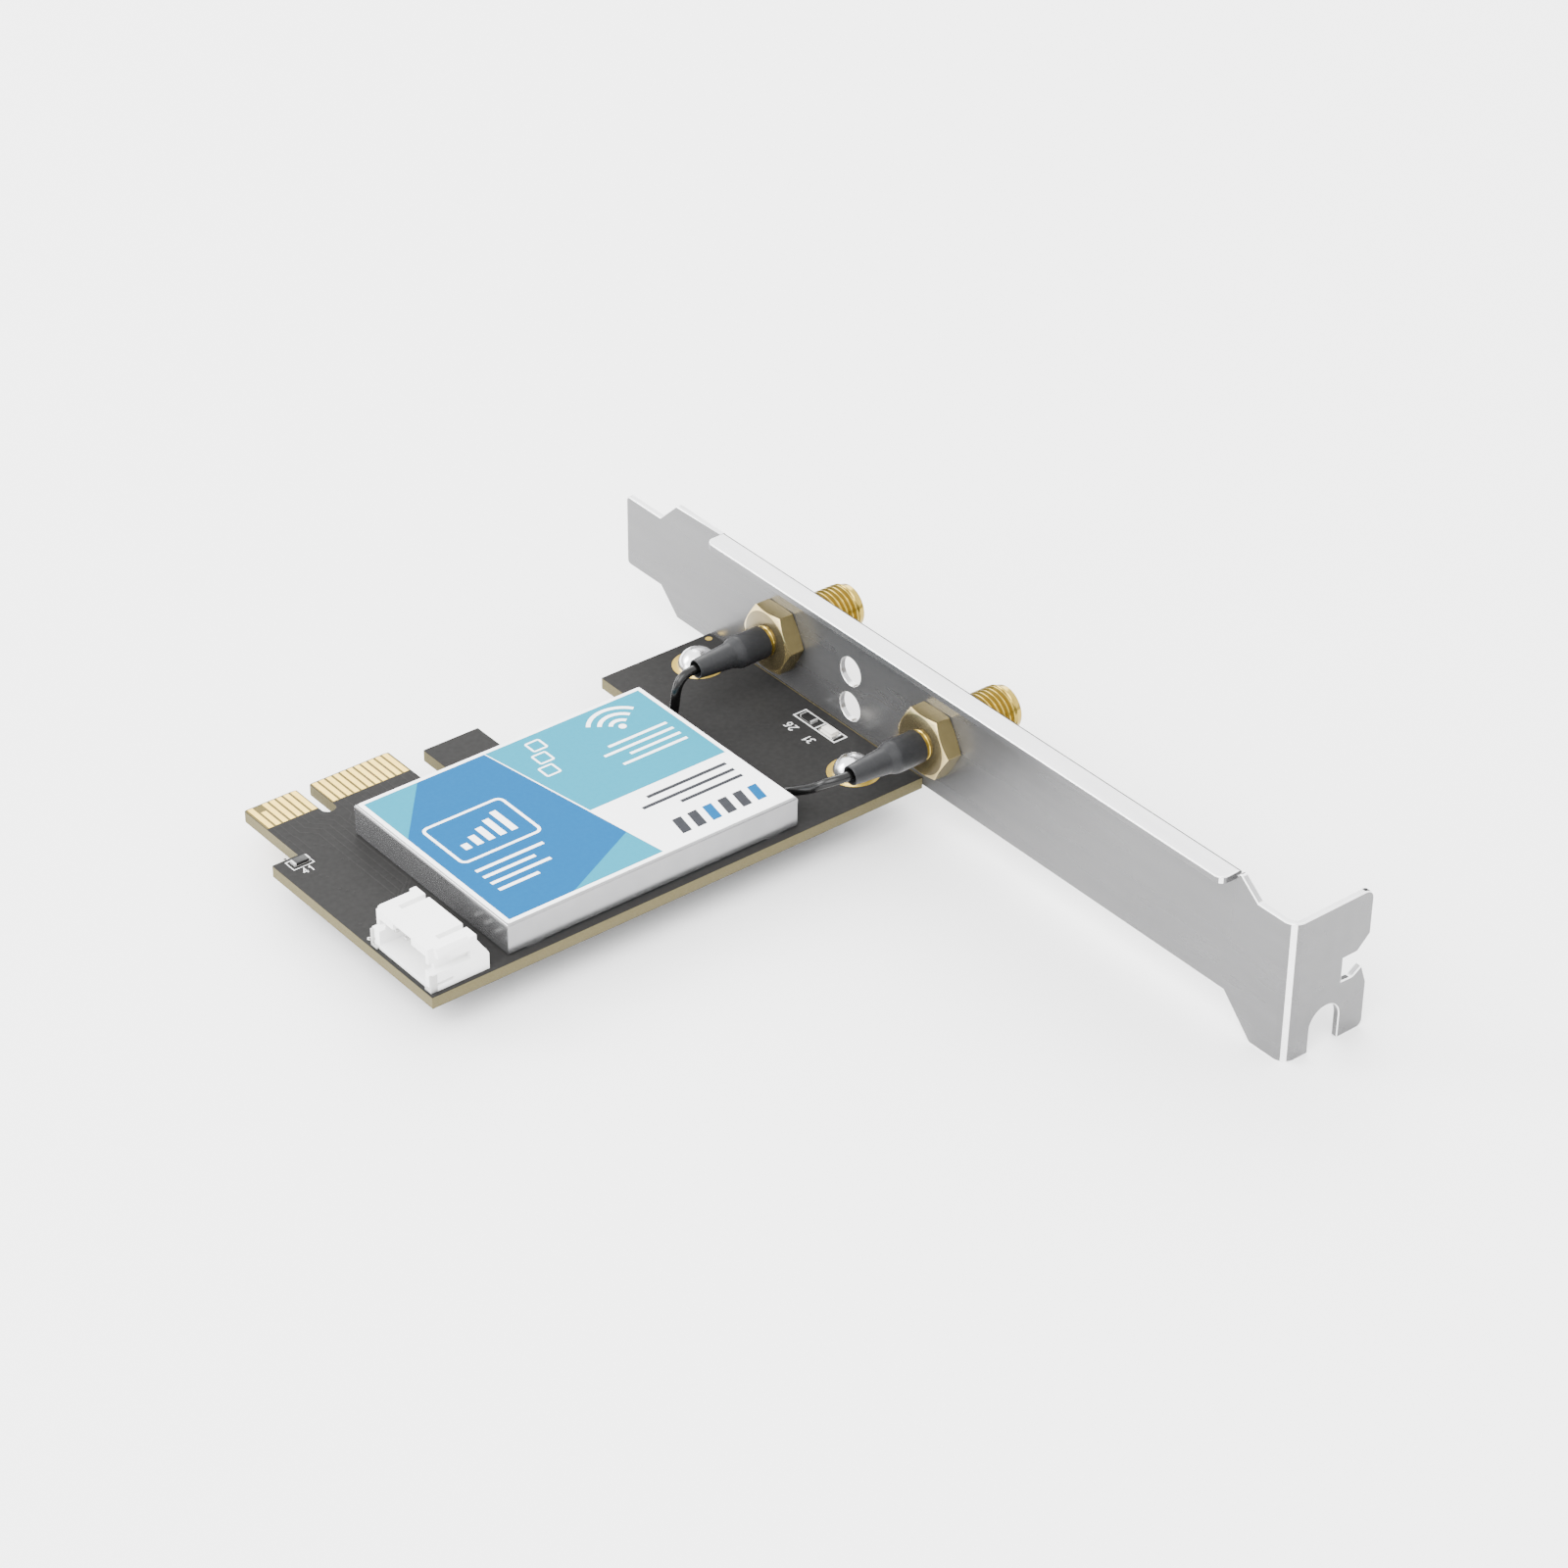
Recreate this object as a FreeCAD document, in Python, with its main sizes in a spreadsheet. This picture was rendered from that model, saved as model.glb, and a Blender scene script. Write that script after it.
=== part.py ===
import FreeCAD
import Part
import math
import os

import Sketcher

# Computer expansion card with a full-height slot bracket, two coax jacks and a shield can.
# Millimetres, +Z up. +X runs out through the bracket, +Y along the bracket to its tongue.
# The origin is the middle of the card's footprint, level with the lowest edge of the bracket.

SIZES = {
    # Circuit board, measured from the bracket's inner face, the near edge and the top face
    "board_margin": 0.25,
    "board_thickness": 1.57,
    "board_gap": 0.08,
    "board_depth": 32.28,
    "rear_length": 16.89,
    "rear_depth": 41.19,
    "hook_offset": 35.4,
    "hook_width": 7.96,
    "hook_depth": 41.42,
    "key_inset": 11.69,
    "key_width": 1.9,
    "key_end": 37.4,
    "key_corner": 0.9,
    "tongue_bay": 11.2,
    "tongue_far": 7.2,
    "tongue_depth": 44.18,
    "tongue_corner": 0.7,
    "bevel_run": 0.6,
    "bevel_drop": 0.35,
    "bevel_past": 1.0,
    # Edge contacts
    "contact_pitch": 1.0,
    "contact_width": 0.7,
    "contact_start": 38.86,
    "contact_end": 43.55,
    "contact_short": 42.15,
    "plating": 0.04,
    # Bracket sheet
    "sheet": 0.86,
    "bracket_length": 120.02,
    "tongue_tip": 58.4,
    "tongue_round": 0.6,
    "tongue_low": 2.07,
    "tongue_high": 11.9,
    "step_start": 51.4,
    "step_end": 48.1,
    "plate_low": 1.2,
    "plate_high": 15.05,
    "card_level": 5.88,
    "foot_start": 5.42,
    "foot_end": 9.92,
    "tab_high": 12.85,
    "shoulder_start": 8.42,
    "shoulder_end": 5.66,
    "tab_reach": 12.2,
    "tab_bend": 0.8,
    "flange_reach": 2.25,
    "flange_bend": 0.2,
    "flange_start": 39.3,
    "flange_end": 9.32,
    "flange_root": 0.2,
    "flange_corner": 1.2,
    "relief_width": 0.5,
    "relief_depth": 1.4,
    "slot_offset": 6.02,
    "slot_width": 4.5,
    "slot_top": 0.4,
    "tab_top_corner": 1.3,
    "tab_low_corner": 0.9,
    "notch_root": 8.2,
    "notch_high": 5.07,
    "notch_low": 1.95,
    "lobe_low": 6.82,
    "lobe_slope": 10.35,
    "lobe_corner": 0.4,
    "lip_start": 9.95,
    "lip_root": 1.85,
    "lip_corner": 1.2,
    "lip_tip": 11.3,
    "lip_high": 2.75,
    "lip_low": 0.2,
    # Ears and rivets
    "ear_reach": 9.8,
    "ear_width": 7.5,
    "ear_corner": 1.5,
    "rivet_offset": 5.78,
    "rivet_near": 5.95,
    "rivet_far": 36.2,
    "rivet_shank": 3.0,
    "rivet_fit": 0.1,
    "dome_width": 5.1,
    "dome_height": 2.25,
    "dome_shoulder_width": 4.5,
    "dome_shoulder": 1.25,
    "dome_crown": 2.4,
    "tail_width": 4.4,
    "tail_height": 0.9,
    "pad_width": 6.6,
    # Antenna jacks
    "jack_near": 2.2,
    "jack_far": 27.1,
    "jack_level": 6.75,
    "jack_thread": 6.35,
    "jack_fit": 0.12,
    "jack_length": 10.9,
    "jack_bevel": 0.35,
    "jack_relief": 0.225,
    "jack_runout": 0.3,
    "flange_flats": 8.0,
    "jack_flange": 2.0,
    "hex_chamfer": 0.45,
    "collar_width": 4.0,
    "collar_length": 0.5,
    "socket_width": 4.6,
    "socket_depth": 7.7,
    "insulator_length": 6.6,
    "contact_pin_width": 1.27,
    "washer_width": 9.4,
    "washer_thickness": 0.5,
    "nut_flats": 7.9,
    "nut_thickness": 1.95,
    # Indicator holes
    "light_width": 3.8,
    "light_along": 13.83,
    "light_high": 7.9,
    "light_low": 2.93,
    # Cables and sleeves
    "cable_width": 1.2,
    "sleeve_end": 13.2,
    "sleeve_neck": 8.3,
    "sleeve_shoulder": 6.6,
    "sleeve_neck_width": 2.8,
    "sleeve_width": 4.1,
    "sleeve_lining": 0.1,
    "cable_gap": 1.85,
    "cable_lean": 0.25,
    "cable_foot": 0.3,
    "far_bend": 2.6,
    "near_bend": 2.9,
    "low_bend": 1.5,
    # Shield can and label
    "can_offset": 18.2,
    "can_length": 41.4,
    "can_near": 1.15,
    "can_width": 30.6,
    "can_height": 4.1,
    "can_sheet": 0.25,
    "can_lift": 0.2,
    "can_edge": 0.35,
    "can_header_gap": 1.37,
    "can_foot_width": 2.1,
    "can_foot_inset": 2.6,
    "gate_width": 2.0,
    "gate_height": 2.3,
    "label_inset": 0.3,
    "label_thickness": 0.06,
    # Chips on the board inside the can, placed by their middles
    "radio_size": 9.0,
    "radio_height": 0.9,
    "power_size": 5.0,
    "memory_length": 5.0,
    "memory_width": 4.0,
    "chip_inset": 5.6,
    "chip_spread": 7.5,
    "front_end_size": 3.0,
    "front_end_gap": 7.3,
    "small_chip_height": 0.75,
    "crystal_length": 3.2,
    "crystal_width": 2.5,
    "crystal_gap": 2.0,
    "chip_corner": 0.15,
    "plug_inset": 3.5,
    "plug_width": 2.6,
    "plug_height": 1.95,
    "plug_gate": 6.6,
    "plug_collar": 0.9,
    "plug_collar_width": 1.4,
    "receptacle_size": 2.6,
    "receptacle_base": 0.35,
    "receptacle_ring": 2.0,
    "receptacle_height": 1.1,
    "cable_low": 1.05,
    # Wire header, lengths measured from its solder tabs' front
    "header_near": 0.6,
    "header_width": 11.8,
    "header_height": 5.3,
    "header_depth": 7.93,
    "header_roof": 6.35,
    "header_shoulder": 1.15,
    "header_lip": 0.4,
    "header_front": 0.3,
    "header_step": 4.6,
    "header_heel": 2.16,
    "header_cheek": 2.45,
    "header_floor": 0.6,
    "lip_inset": 0.87,
    "lip_bottom": 3.3,
    "mouth_wall": 1.42,
    "mouth_high": 4.2,
    "mouth_end": 6.0,
    "channel_high": 5.05,
    "channel_width": 3.5,
    "channel_end": 3.6,
    "groove_inset": 1.9,
    "groove_width": 0.75,
    "groove_depth": 0.7,
    "groove_start": 2.65,
    "window_start": 2.8,
    "window_end": 5.5,
    "window_high": 3.55,
    "window_step": 4.15,
    "ramp_width": 0.45,
    "ramp_height": 0.5,
    "low_slot_end": 3.1,
    "low_slot_floor": 0.7,
    "low_slot_height": 0.4,
    "low_slot_depth": 0.45,
    "header_pitch": 2.0,
    "pin_side": 0.5,
    "pin_level": 3.0,
    "pin_tip": 1.4,
    "pin_foot": 1.1,
    "anchor_thickness": 0.3,
    "anchor_length": 0.95,
    "anchor_height": 2.3,
    "anchor_foot": 1.2,
    # Small chips on the board
    "chip_length": 2.2,
    "chip_width": 1.05,
    "chip_height": 0.5,
    "chip_cap": 0.45,
    "light_length": 2.8,
    "light_chip_width": 1.25,
    "light_height": 0.75,
    "marker_offset": 2.83,
    "marker_resistor": 18.1,
    "marker_light": 14.1,
    "corner_chip_inset": 2.95,
    "corner_chip_depth": 30.85,
}

HEADER_PINS = 4
CABLE_SIDES = 8
NEAR_CONTACTS = 11
FAR_CONTACTS = 7
HEX_POINT = 2 / math.sqrt(3)

doc = FreeCAD.newDocument("expansion_card")


class Length:
    """A size known as a number and as the expression on the sheet that gives it."""

    def __init__(self, number, text):
        self.number = number
        self.text = text

    def __add__(self, other):
        return joined(self, "+", other, self.number + number_of(other))

    def __radd__(self, other):
        return joined(other, "+", self, number_of(other) + self.number)

    def __sub__(self, other):
        return joined(self, "-", other, self.number - number_of(other))

    def __rsub__(self, other):
        return joined(other, "-", self, number_of(other) - self.number)

    def __mul__(self, other):
        return joined(self, "*", other, self.number * number_of(other))

    def __rmul__(self, other):
        return joined(other, "*", self, number_of(other) * self.number)

    def __truediv__(self, other):
        return joined(self, "/", other, self.number / number_of(other))

    def __rtruediv__(self, other):
        return joined(other, "/", self, number_of(other) / self.number)

    def __neg__(self):
        return Length(-self.number, f"(0 - {self.text})")


def number_of(value):
    return value.number if isinstance(value, Length) else float(value)


def text_of(value):
    return value.text if isinstance(value, Length) else f"({value:.9g})"


def joined(left, sign, right, number):
    return Length(number, f"({text_of(left)} {sign} {text_of(right)})")


def make_sheet():
    """The sheet of driving sizes, one row for each, with its name as alias."""
    sheet = doc.addObject("Spreadsheet::Sheet", "sizes")
    for row, (name, value) in enumerate(SIZES.items(), start=1):
        sheet.set(f"A{row}", name)
        sheet.set(f"B{row}", str(value))
        sheet.setAlias(f"B{row}", name)
    doc.recompute()
    return sheet


sheet = make_sheet()


class Names:
    """Gives each named size of the sheet as a Length."""

    def __getattr__(self, name):
        return Length(float(sheet.get(name)), f"sizes.{name}")


size = Names()

# Along the card from the bracket: shield can, wire header, board's end and its key notch
CAN_END = size.can_offset + size.can_length
HEADER_FRONT = (CAN_END + size.can_header_gap + size.pin_foot + size.pin_side
                + size.header_depth)
BOARD_END = HEADER_FRONT + size.board_margin
KEY_MIDDLE = BOARD_END - size.key_inset
PLUG_MIDDLE = size.can_offset + size.plug_inset

# Datum of the card: bracket's inner face, near edge of the board, top face of the board
DATUM_X = (BOARD_END - size.tab_reach) / 2
DATUM_Y = size.bracket_length / 2 - size.tongue_tip
DATUM_Z = size.card_level

PARTS = []


def bind(thing, name, value):
    """Ties a property to the sheet, or sets it where it is a plain number."""
    if isinstance(value, Length):
        thing.setExpression(name, value.text)
    else:
        thing.setExpression(name, text_of(value))


def keep(thing, label, x=0.0, y=0.0, z=0.0):
    """Names a finished sub-part and puts it in the card's frame, moved by x, y and z."""
    thing.Label = label
    bind(thing, "Placement.Base.x", DATUM_X + x)
    bind(thing, "Placement.Base.y", DATUM_Y + y)
    bind(thing, "Placement.Base.z", DATUM_Z + z)
    PARTS.append(thing)
    return thing


def new_body(name):
    return doc.addObject("PartDesign::Body", name)


def sketch_on(body, plane, name, lift=None):
    """A sketch on one of the body's own planes, lifted along that plane's normal."""
    sketch = body.newObject("Sketcher::SketchObject", name)
    role = [part for part in body.Origin.OriginFeatures if part.Role == plane][0]
    sketch.AttachmentSupport = [(role, "")]
    sketch.MapMode = "FlatFace"
    if lift is not None:
        bind(sketch, "AttachmentOffset.Base.z", lift)
    return sketch


def fix(sketch, kind, geometry, point, value):
    """A distance from the sketch's origin, tied to the sheet."""
    index = sketch.addConstraint(
        Sketcher.Constraint(kind, -1, 1, geometry, point, number_of(value)))
    bind(sketch, f"Constraints[{index}]", value)


def outline(sketch, corners):
    """A closed outline. Each corner is (u, v) or (u, v, radius); a radius rounds it by an arc."""
    points = [FreeCAD.Vector(number_of(c[0]), number_of(c[1]), 0) for c in corners]
    count = len(corners)
    starts, ends, arcs = [], [], []
    for i, corner in enumerate(corners):
        here = points[i]
        back = (points[i - 1] - here).normalize()
        ahead = (points[(i + 1) % count] - here).normalize()
        if len(corner) == 2:
            starts.append(here)
            ends.append(here)
            arcs.append(None)
            continue
        radius = number_of(corner[2])
        half = back.getAngle(ahead) / 2
        run = radius / math.tan(half)
        middle = here + (back + ahead).normalize() * (radius / math.sin(half) - radius)
        ends.append(here + back * run)
        starts.append(here + ahead * run)
        arcs.append(Part.Arc(here + back * run, middle, here + ahead * run))
    lines = []
    for i in range(count):
        lines.append(sketch.addGeometry(Part.LineSegment(starts[i], ends[(i + 1) % count])))
    for i, corner in enumerate(corners):
        before, after = lines[i - 1], lines[i]
        if arcs[i] is None:
            sketch.addConstraint(Sketcher.Constraint("Coincident", before, 2, after, 1))
            fix(sketch, "DistanceX", after, 1, corner[0])
            fix(sketch, "DistanceY", after, 1, corner[1])
            continue
        arc = sketch.addGeometry(arcs[i])
        spot = sketch.addGeometry(Part.Point(points[i]), True)
        begins = 1 if (sketch.getPoint(arc, 1) - ends[i]).Length < 1e-6 else 2
        sketch.addConstraint(Sketcher.Constraint("Tangent", before, 2, arc, begins))
        sketch.addConstraint(Sketcher.Constraint("Tangent", after, 1, arc, 3 - begins))
        sketch.addConstraint(Sketcher.Constraint("PointOnObject", spot, 1, before))
        sketch.addConstraint(Sketcher.Constraint("PointOnObject", spot, 1, after))
        fix(sketch, "DistanceX", spot, 1, corner[0])
        fix(sketch, "DistanceY", spot, 1, corner[1])
        index = sketch.addConstraint(Sketcher.Constraint("Radius", arc, number_of(corner[2])))
        bind(sketch, f"Constraints[{index}]", corner[2])


def box_outline(sketch, low_u, low_v, high_u, high_v):
    outline(sketch, [(low_u, low_v), (high_u, low_v), (high_u, high_v), (low_u, high_v)])


def ring(sketch, u, v, width):
    """A circle given by its centre and its width across."""
    centre = FreeCAD.Vector(number_of(u), number_of(v), 0)
    circle = Part.Circle(centre, FreeCAD.Vector(0, 0, 1), number_of(width) / 2)
    index = sketch.addGeometry(circle)
    fix(sketch, "DistanceX", index, 3, u)
    fix(sketch, "DistanceY", index, 3, v)
    radius = sketch.addConstraint(Sketcher.Constraint("Radius", index, number_of(width) / 2))
    bind(sketch, f"Constraints[{radius}]", width / 2)


def hexagon(sketch, flats):
    """A hexagon about the sketch's origin with two flats level, given by its width over flats."""
    point = flats * HEX_POINT / 2
    outline(sketch, [(point, 0.0), (point / 2, flats / 2), (-point / 2, flats / 2),
                     (-point, 0.0), (-point / 2, -flats / 2), (point / 2, -flats / 2)])


def pad(body, sketch, length, name, back=False, middle=False):
    feature = body.newObject("PartDesign::Pad", name)
    feature.Profile = sketch
    bind(feature, "Length", length)
    feature.Reversed = back
    feature.Midplane = middle
    return feature


def pocket(body, sketch, length, name, back=False, middle=False):
    feature = body.newObject("PartDesign::Pocket", name)
    feature.Profile = sketch
    bind(feature, "Length", length)
    feature.Reversed = back
    feature.Midplane = middle
    return feature


def turned(body, sketch, name, kind="PartDesign::Revolution", axis="H_Axis"):
    """Turns a sketch about one of its own axes, adding or cutting."""
    feature = body.newObject(kind, name)
    feature.Profile = sketch
    feature.ReferenceAxis = (sketch, [axis])
    feature.Angle = 360
    return feature


def rounded(body, base, spots, axis, radius, name):
    """Rounds the edges of base that run along axis ("X", "Y" or "Z") through the given spots."""
    doc.recompute()
    others = [a for a in "XYZ" if a != axis]
    names = []
    for number, edge in enumerate(base.Shape.Edges, start=1):
        box = edge.BoundBox
        spans = {"X": box.XLength, "Y": box.YLength, "Z": box.ZLength}
        centre = {"X": box.Center.x, "Y": box.Center.y, "Z": box.Center.z}
        if spans[axis] < 1e-4 or max(spans[a] for a in others) > 1e-4:
            continue
        for spot in spots:
            if all(abs(centre[a] - number_of(spot[i])) < 1e-3 for i, a in enumerate(others)):
                names.append(f"Edge{number}")
    feature = body.newObject("PartDesign::Fillet", name)
    feature.Base = (base, names)
    bind(feature, "Radius", radius)
    return feature


def box(name, x, y, z, length, width, height):
    """A plain block whose low corner is at x, y and z in the card's frame."""
    block = doc.addObject("Part::Box", name)
    bind(block, "Length", length)
    bind(block, "Width", width)
    bind(block, "Height", height)
    bind(block, "Placement.Base.x", x)
    bind(block, "Placement.Base.y", y)
    bind(block, "Placement.Base.z", z)
    return block


def group(name, blocks):
    gathered = doc.addObject("Part::Compound", name)
    gathered.Links = blocks
    return gathered


def make_bracket():
    """One folded sheet: plate with tongue, stiffening flange, two ears and the screw tab."""
    body = new_body("bracket_body")
    reach = size.bracket_length - size.tongue_tip
    flange_end = reach - size.flange_end
    height = size.plate_high + size.card_level
    outer = size.tab_bend + size.sheet
    section = sketch_on(body, "XY_Plane", "fold_section", -size.card_level)
    outline(section, [
        (0.0, size.tongue_tip), (0.0, -reach, outer), (size.tab_reach, -reach),
        (size.tab_reach, size.sheet - reach), (size.sheet, size.sheet - reach, size.tab_bend),
        (size.sheet, size.tongue_tip)])
    pad(body, section, height, "folded_sheet")

    face = sketch_on(body, "YZ_Plane", "plate_outline")
    past = size.card_level
    under_flange = size.plate_high - size.sheet - size.flange_bend
    relief = size.plate_high - size.relief_depth
    box_outline(face, -reach - past, -size.card_level - past,
                size.tongue_tip + past, size.plate_high + past)
    outline(face, [
        (size.tongue_tip, size.tongue_low, size.tongue_round),
        (size.tongue_tip, size.tongue_high, size.tongue_round),
        (size.step_start, size.tongue_high), (size.step_end, size.plate_high),
        (size.flange_start, size.plate_high), (size.flange_start, under_flange),
        (-flange_end, under_flange), (-flange_end, relief),
        (-flange_end - size.relief_width, relief),
        (-flange_end - size.relief_width, size.plate_high),
        (size.shoulder_start - reach, size.plate_high),
        (size.shoulder_end - reach, size.tab_high), (-reach - past / 2, size.tab_high),
        (-reach - past / 2, -size.card_level), (size.foot_start - reach, -size.card_level),
        (size.foot_end - reach, -size.plate_low), (size.step_end, -size.plate_low),
        (size.step_start, size.tongue_low)])
    pocket(body, face, 4 * size.tab_reach, "plate_trim", middle=True)

    fold = sketch_on(body, "XZ_Plane", "flange_section", flange_end)
    root = under_flange - size.flange_root
    outline(fold, [
        (size.sheet, root), (size.sheet, size.plate_high, size.sheet + size.flange_bend),
        (-size.flange_reach, size.plate_high), (-size.flange_reach, size.plate_high - size.sheet),
        (0.0, size.plate_high - size.sheet, size.flange_bend), (0.0, root)])
    flange = pad(body, fold, size.flange_start + flange_end, "flange", back=True)
    corners = rounded(body, flange, [(-size.flange_reach, size.flange_start),
                                     (-size.flange_reach, -flange_end)],
                      "Z", size.flange_corner, "flange_corners")

    ear_top = -size.board_thickness
    ear_root = size.flange_root - size.plate_low
    ear = corners
    for name, along in (("near_ear", size.rivet_near), ("far_ear", size.rivet_far)):
        bent = sketch_on(body, "XZ_Plane", name + "_section", -along)
        outline(bent, [
            (0.0, ear_root), (0.0, ear_top), (-size.ear_reach, ear_top),
            (-size.ear_reach, ear_top - size.sheet),
            (size.sheet, ear_top - size.sheet, size.sheet), (size.sheet, ear_root)])
        ear = pad(body, bent, size.ear_width, name, middle=True)
    spots = [(-size.ear_reach, along + side * size.ear_width / 2)
             for along in (size.rivet_near, size.rivet_far) for side in (-1, 1)]
    rounded(body, ear, spots, "Z", size.ear_corner, "ear_corners")

    holes = sketch_on(body, "XY_Plane", "ear_holes")
    for along in (size.rivet_near, size.rivet_far):
        ring(holes, -size.rivet_offset, along, size.rivet_shank + 2 * size.rivet_fit)
    pocket(body, holes, 2 * size.card_level, "ear_drilling", middle=True)

    openings = sketch_on(body, "YZ_Plane", "plate_holes")
    for along in (size.jack_far, -size.jack_near):
        ring(openings, along, size.jack_level, size.jack_thread + 2 * size.jack_fit)
    for level in (size.light_high, size.light_low):
        ring(openings, size.light_along, level, size.light_width)
    pocket(body, openings, 4 * size.sheet, "plate_drilling", middle=True)

    trim = sketch_on(body, "XZ_Plane", "tab_trim", reach)
    beyond = size.tab_reach + size.sheet
    box_outline(trim, size.slot_offset - size.slot_width / 2, -size.card_level - past,
                size.slot_offset + size.slot_width / 2, -size.slot_top - size.slot_width / 2)
    pocket(body, trim, 4 * size.sheet, "slot_mouth", middle=True)
    head = sketch_on(body, "XZ_Plane", "slot_head", reach)
    ring(head, size.slot_offset, -size.slot_top - size.slot_width / 2, size.slot_width)
    pocket(body, head, 4 * size.sheet, "slot_end", middle=True)
    lobes = sketch_on(body, "XZ_Plane", "tab_lobes", reach)
    outline(lobes, [
        (size.tab_reach, size.lobe_low), (size.lobe_slope, size.notch_high, size.lobe_corner),
        (size.notch_root, size.notch_high), (size.notch_root, size.notch_low),
        (size.lip_start, size.lip_root, size.lip_corner), (size.lip_tip, size.lip_high),
        (size.tab_reach, size.lip_low), (beyond, size.lip_low), (beyond, size.lobe_low)])
    cut = pocket(body, lobes, 4 * size.sheet, "tab_notch", middle=True)
    top = rounded(body, cut, [(size.tab_reach, size.tab_high)], "Y",
                  size.tab_top_corner, "tab_top_round")
    rounded(body, top, [(size.tab_reach, -size.card_level)], "Y",
            size.tab_low_corner, "tab_low_round")
    keep(body, "bracket")


def make_board():
    """The circuit board with its connector tongue, key notch and retention hook."""
    body = new_body("board_body")
    far = BOARD_END
    bay = -KEY_MIDDLE + size.key_width / 2
    beyond = -KEY_MIDDLE - size.key_width / 2
    hook = size.hook_offset + size.hook_width
    rear = size.rear_length + size.board_gap
    notch = size.key_corner
    shape = sketch_on(body, "XY_Plane", "board_outline")
    outline(shape, [
        (-far, 0.0), (-size.board_gap, 0.0), (-size.board_gap, size.rear_depth),
        (-rear, size.rear_depth), (-rear, size.board_depth),
        (-size.hook_offset, size.board_depth), (-size.hook_offset, size.hook_depth),
        (-hook, size.hook_depth), (-hook, size.board_depth),
        (bay + size.tongue_bay, size.board_depth),
        (bay + size.tongue_bay, size.tongue_depth, size.tongue_corner),
        (bay, size.tongue_depth, size.tongue_corner), (bay, size.key_end, notch),
        (beyond, size.key_end, notch), (beyond, size.tongue_depth, size.tongue_corner),
        (beyond - size.tongue_far, size.tongue_depth, size.tongue_corner),
        (beyond - size.tongue_far, size.board_depth), (-far, size.board_depth)])
    pad(body, shape, size.board_thickness, "board_blank", back=True)

    wedge = sketch_on(body, "YZ_Plane", "tongue_bevel", -KEY_MIDDLE)
    start = size.tongue_depth - size.bevel_run
    end = size.tongue_depth + size.bevel_past
    drop = size.bevel_drop * (1 + size.bevel_past / size.bevel_run)
    for face, sign in ((0.0, 1), (-size.board_thickness, -1)):
        outline(wedge, [(start, face), (end, face - sign * drop),
                        (end, face + sign * size.bevel_past),
                        (start, face + sign * size.bevel_past)])
    pocket(body, wedge, 2 * (size.tongue_bay + size.key_width), "bevelling", middle=True)

    holes = sketch_on(body, "XY_Plane", "board_holes")
    for along in (size.rivet_near, size.rivet_far):
        ring(holes, -size.rivet_offset, along, size.rivet_shank + 2 * size.rivet_fit)
    pocket(body, holes, 3 * size.board_thickness, "board_drilling", middle=True)
    keep(body, "circuit_board")


def make_contacts(label, level, short_one):
    """A row of gold contacts on one face of the tongue, one of them short."""
    steps = [1.5 + i for i in range(NEAR_CONTACTS)] + [-1.5 - i for i in range(FAR_CONTACTS)]
    blocks = []
    for i, step in enumerate(steps):
        end = size.contact_short if step == short_one else size.contact_end
        middle = -KEY_MIDDLE + step * size.contact_pitch
        blocks.append(box(f"{label}_{i}", middle - size.contact_width / 2, size.contact_start, level,
                          size.contact_width, end - size.contact_start, size.plating))
    keep(group(label + "_group", blocks), label)


def make_pad_ring(label, along):
    """A plated ring round a rivet hole."""
    body = new_body(label + "_body")
    flat = sketch_on(body, "XY_Plane", label + "_ring")
    ring(flat, 0.0, 0.0, size.pad_width)
    ring(flat, 0.0, 0.0, size.rivet_shank + 2 * size.rivet_fit)
    pad(body, flat, size.plating, label + "_plating")
    keep(body, label, -size.rivet_offset, along)


def make_rivet(label, along):
    """A rivet with a swaged head on the board's pad and a flat closed head under the ear."""
    body = new_body(label + "_body")
    seat = size.plating
    foot = -size.board_thickness - size.sheet
    shank = sketch_on(body, "XY_Plane", label + "_shank_round", foot)
    ring(shank, 0.0, 0.0, size.rivet_shank)
    pad(body, shank, seat - foot, label + "_shank")
    tail = sketch_on(body, "XY_Plane", label + "_tail_round", foot)
    ring(tail, 0.0, 0.0, size.tail_width)
    pad(body, tail, size.tail_height, label + "_tail", back=True)
    dome = sketch_on(body, "XZ_Plane", label + "_dome_section")
    crown = seat + size.dome_height
    outline(dome, [
        (0.0, seat), (size.dome_width / 2, seat),
        (size.dome_shoulder_width / 2, seat + size.dome_shoulder),
        (size.dome_crown / 2, crown), (0.0, crown)])
    turned(body, dome, label + "_dome", axis="V_Axis")
    keep(body, label, -size.rivet_offset, along)


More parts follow.
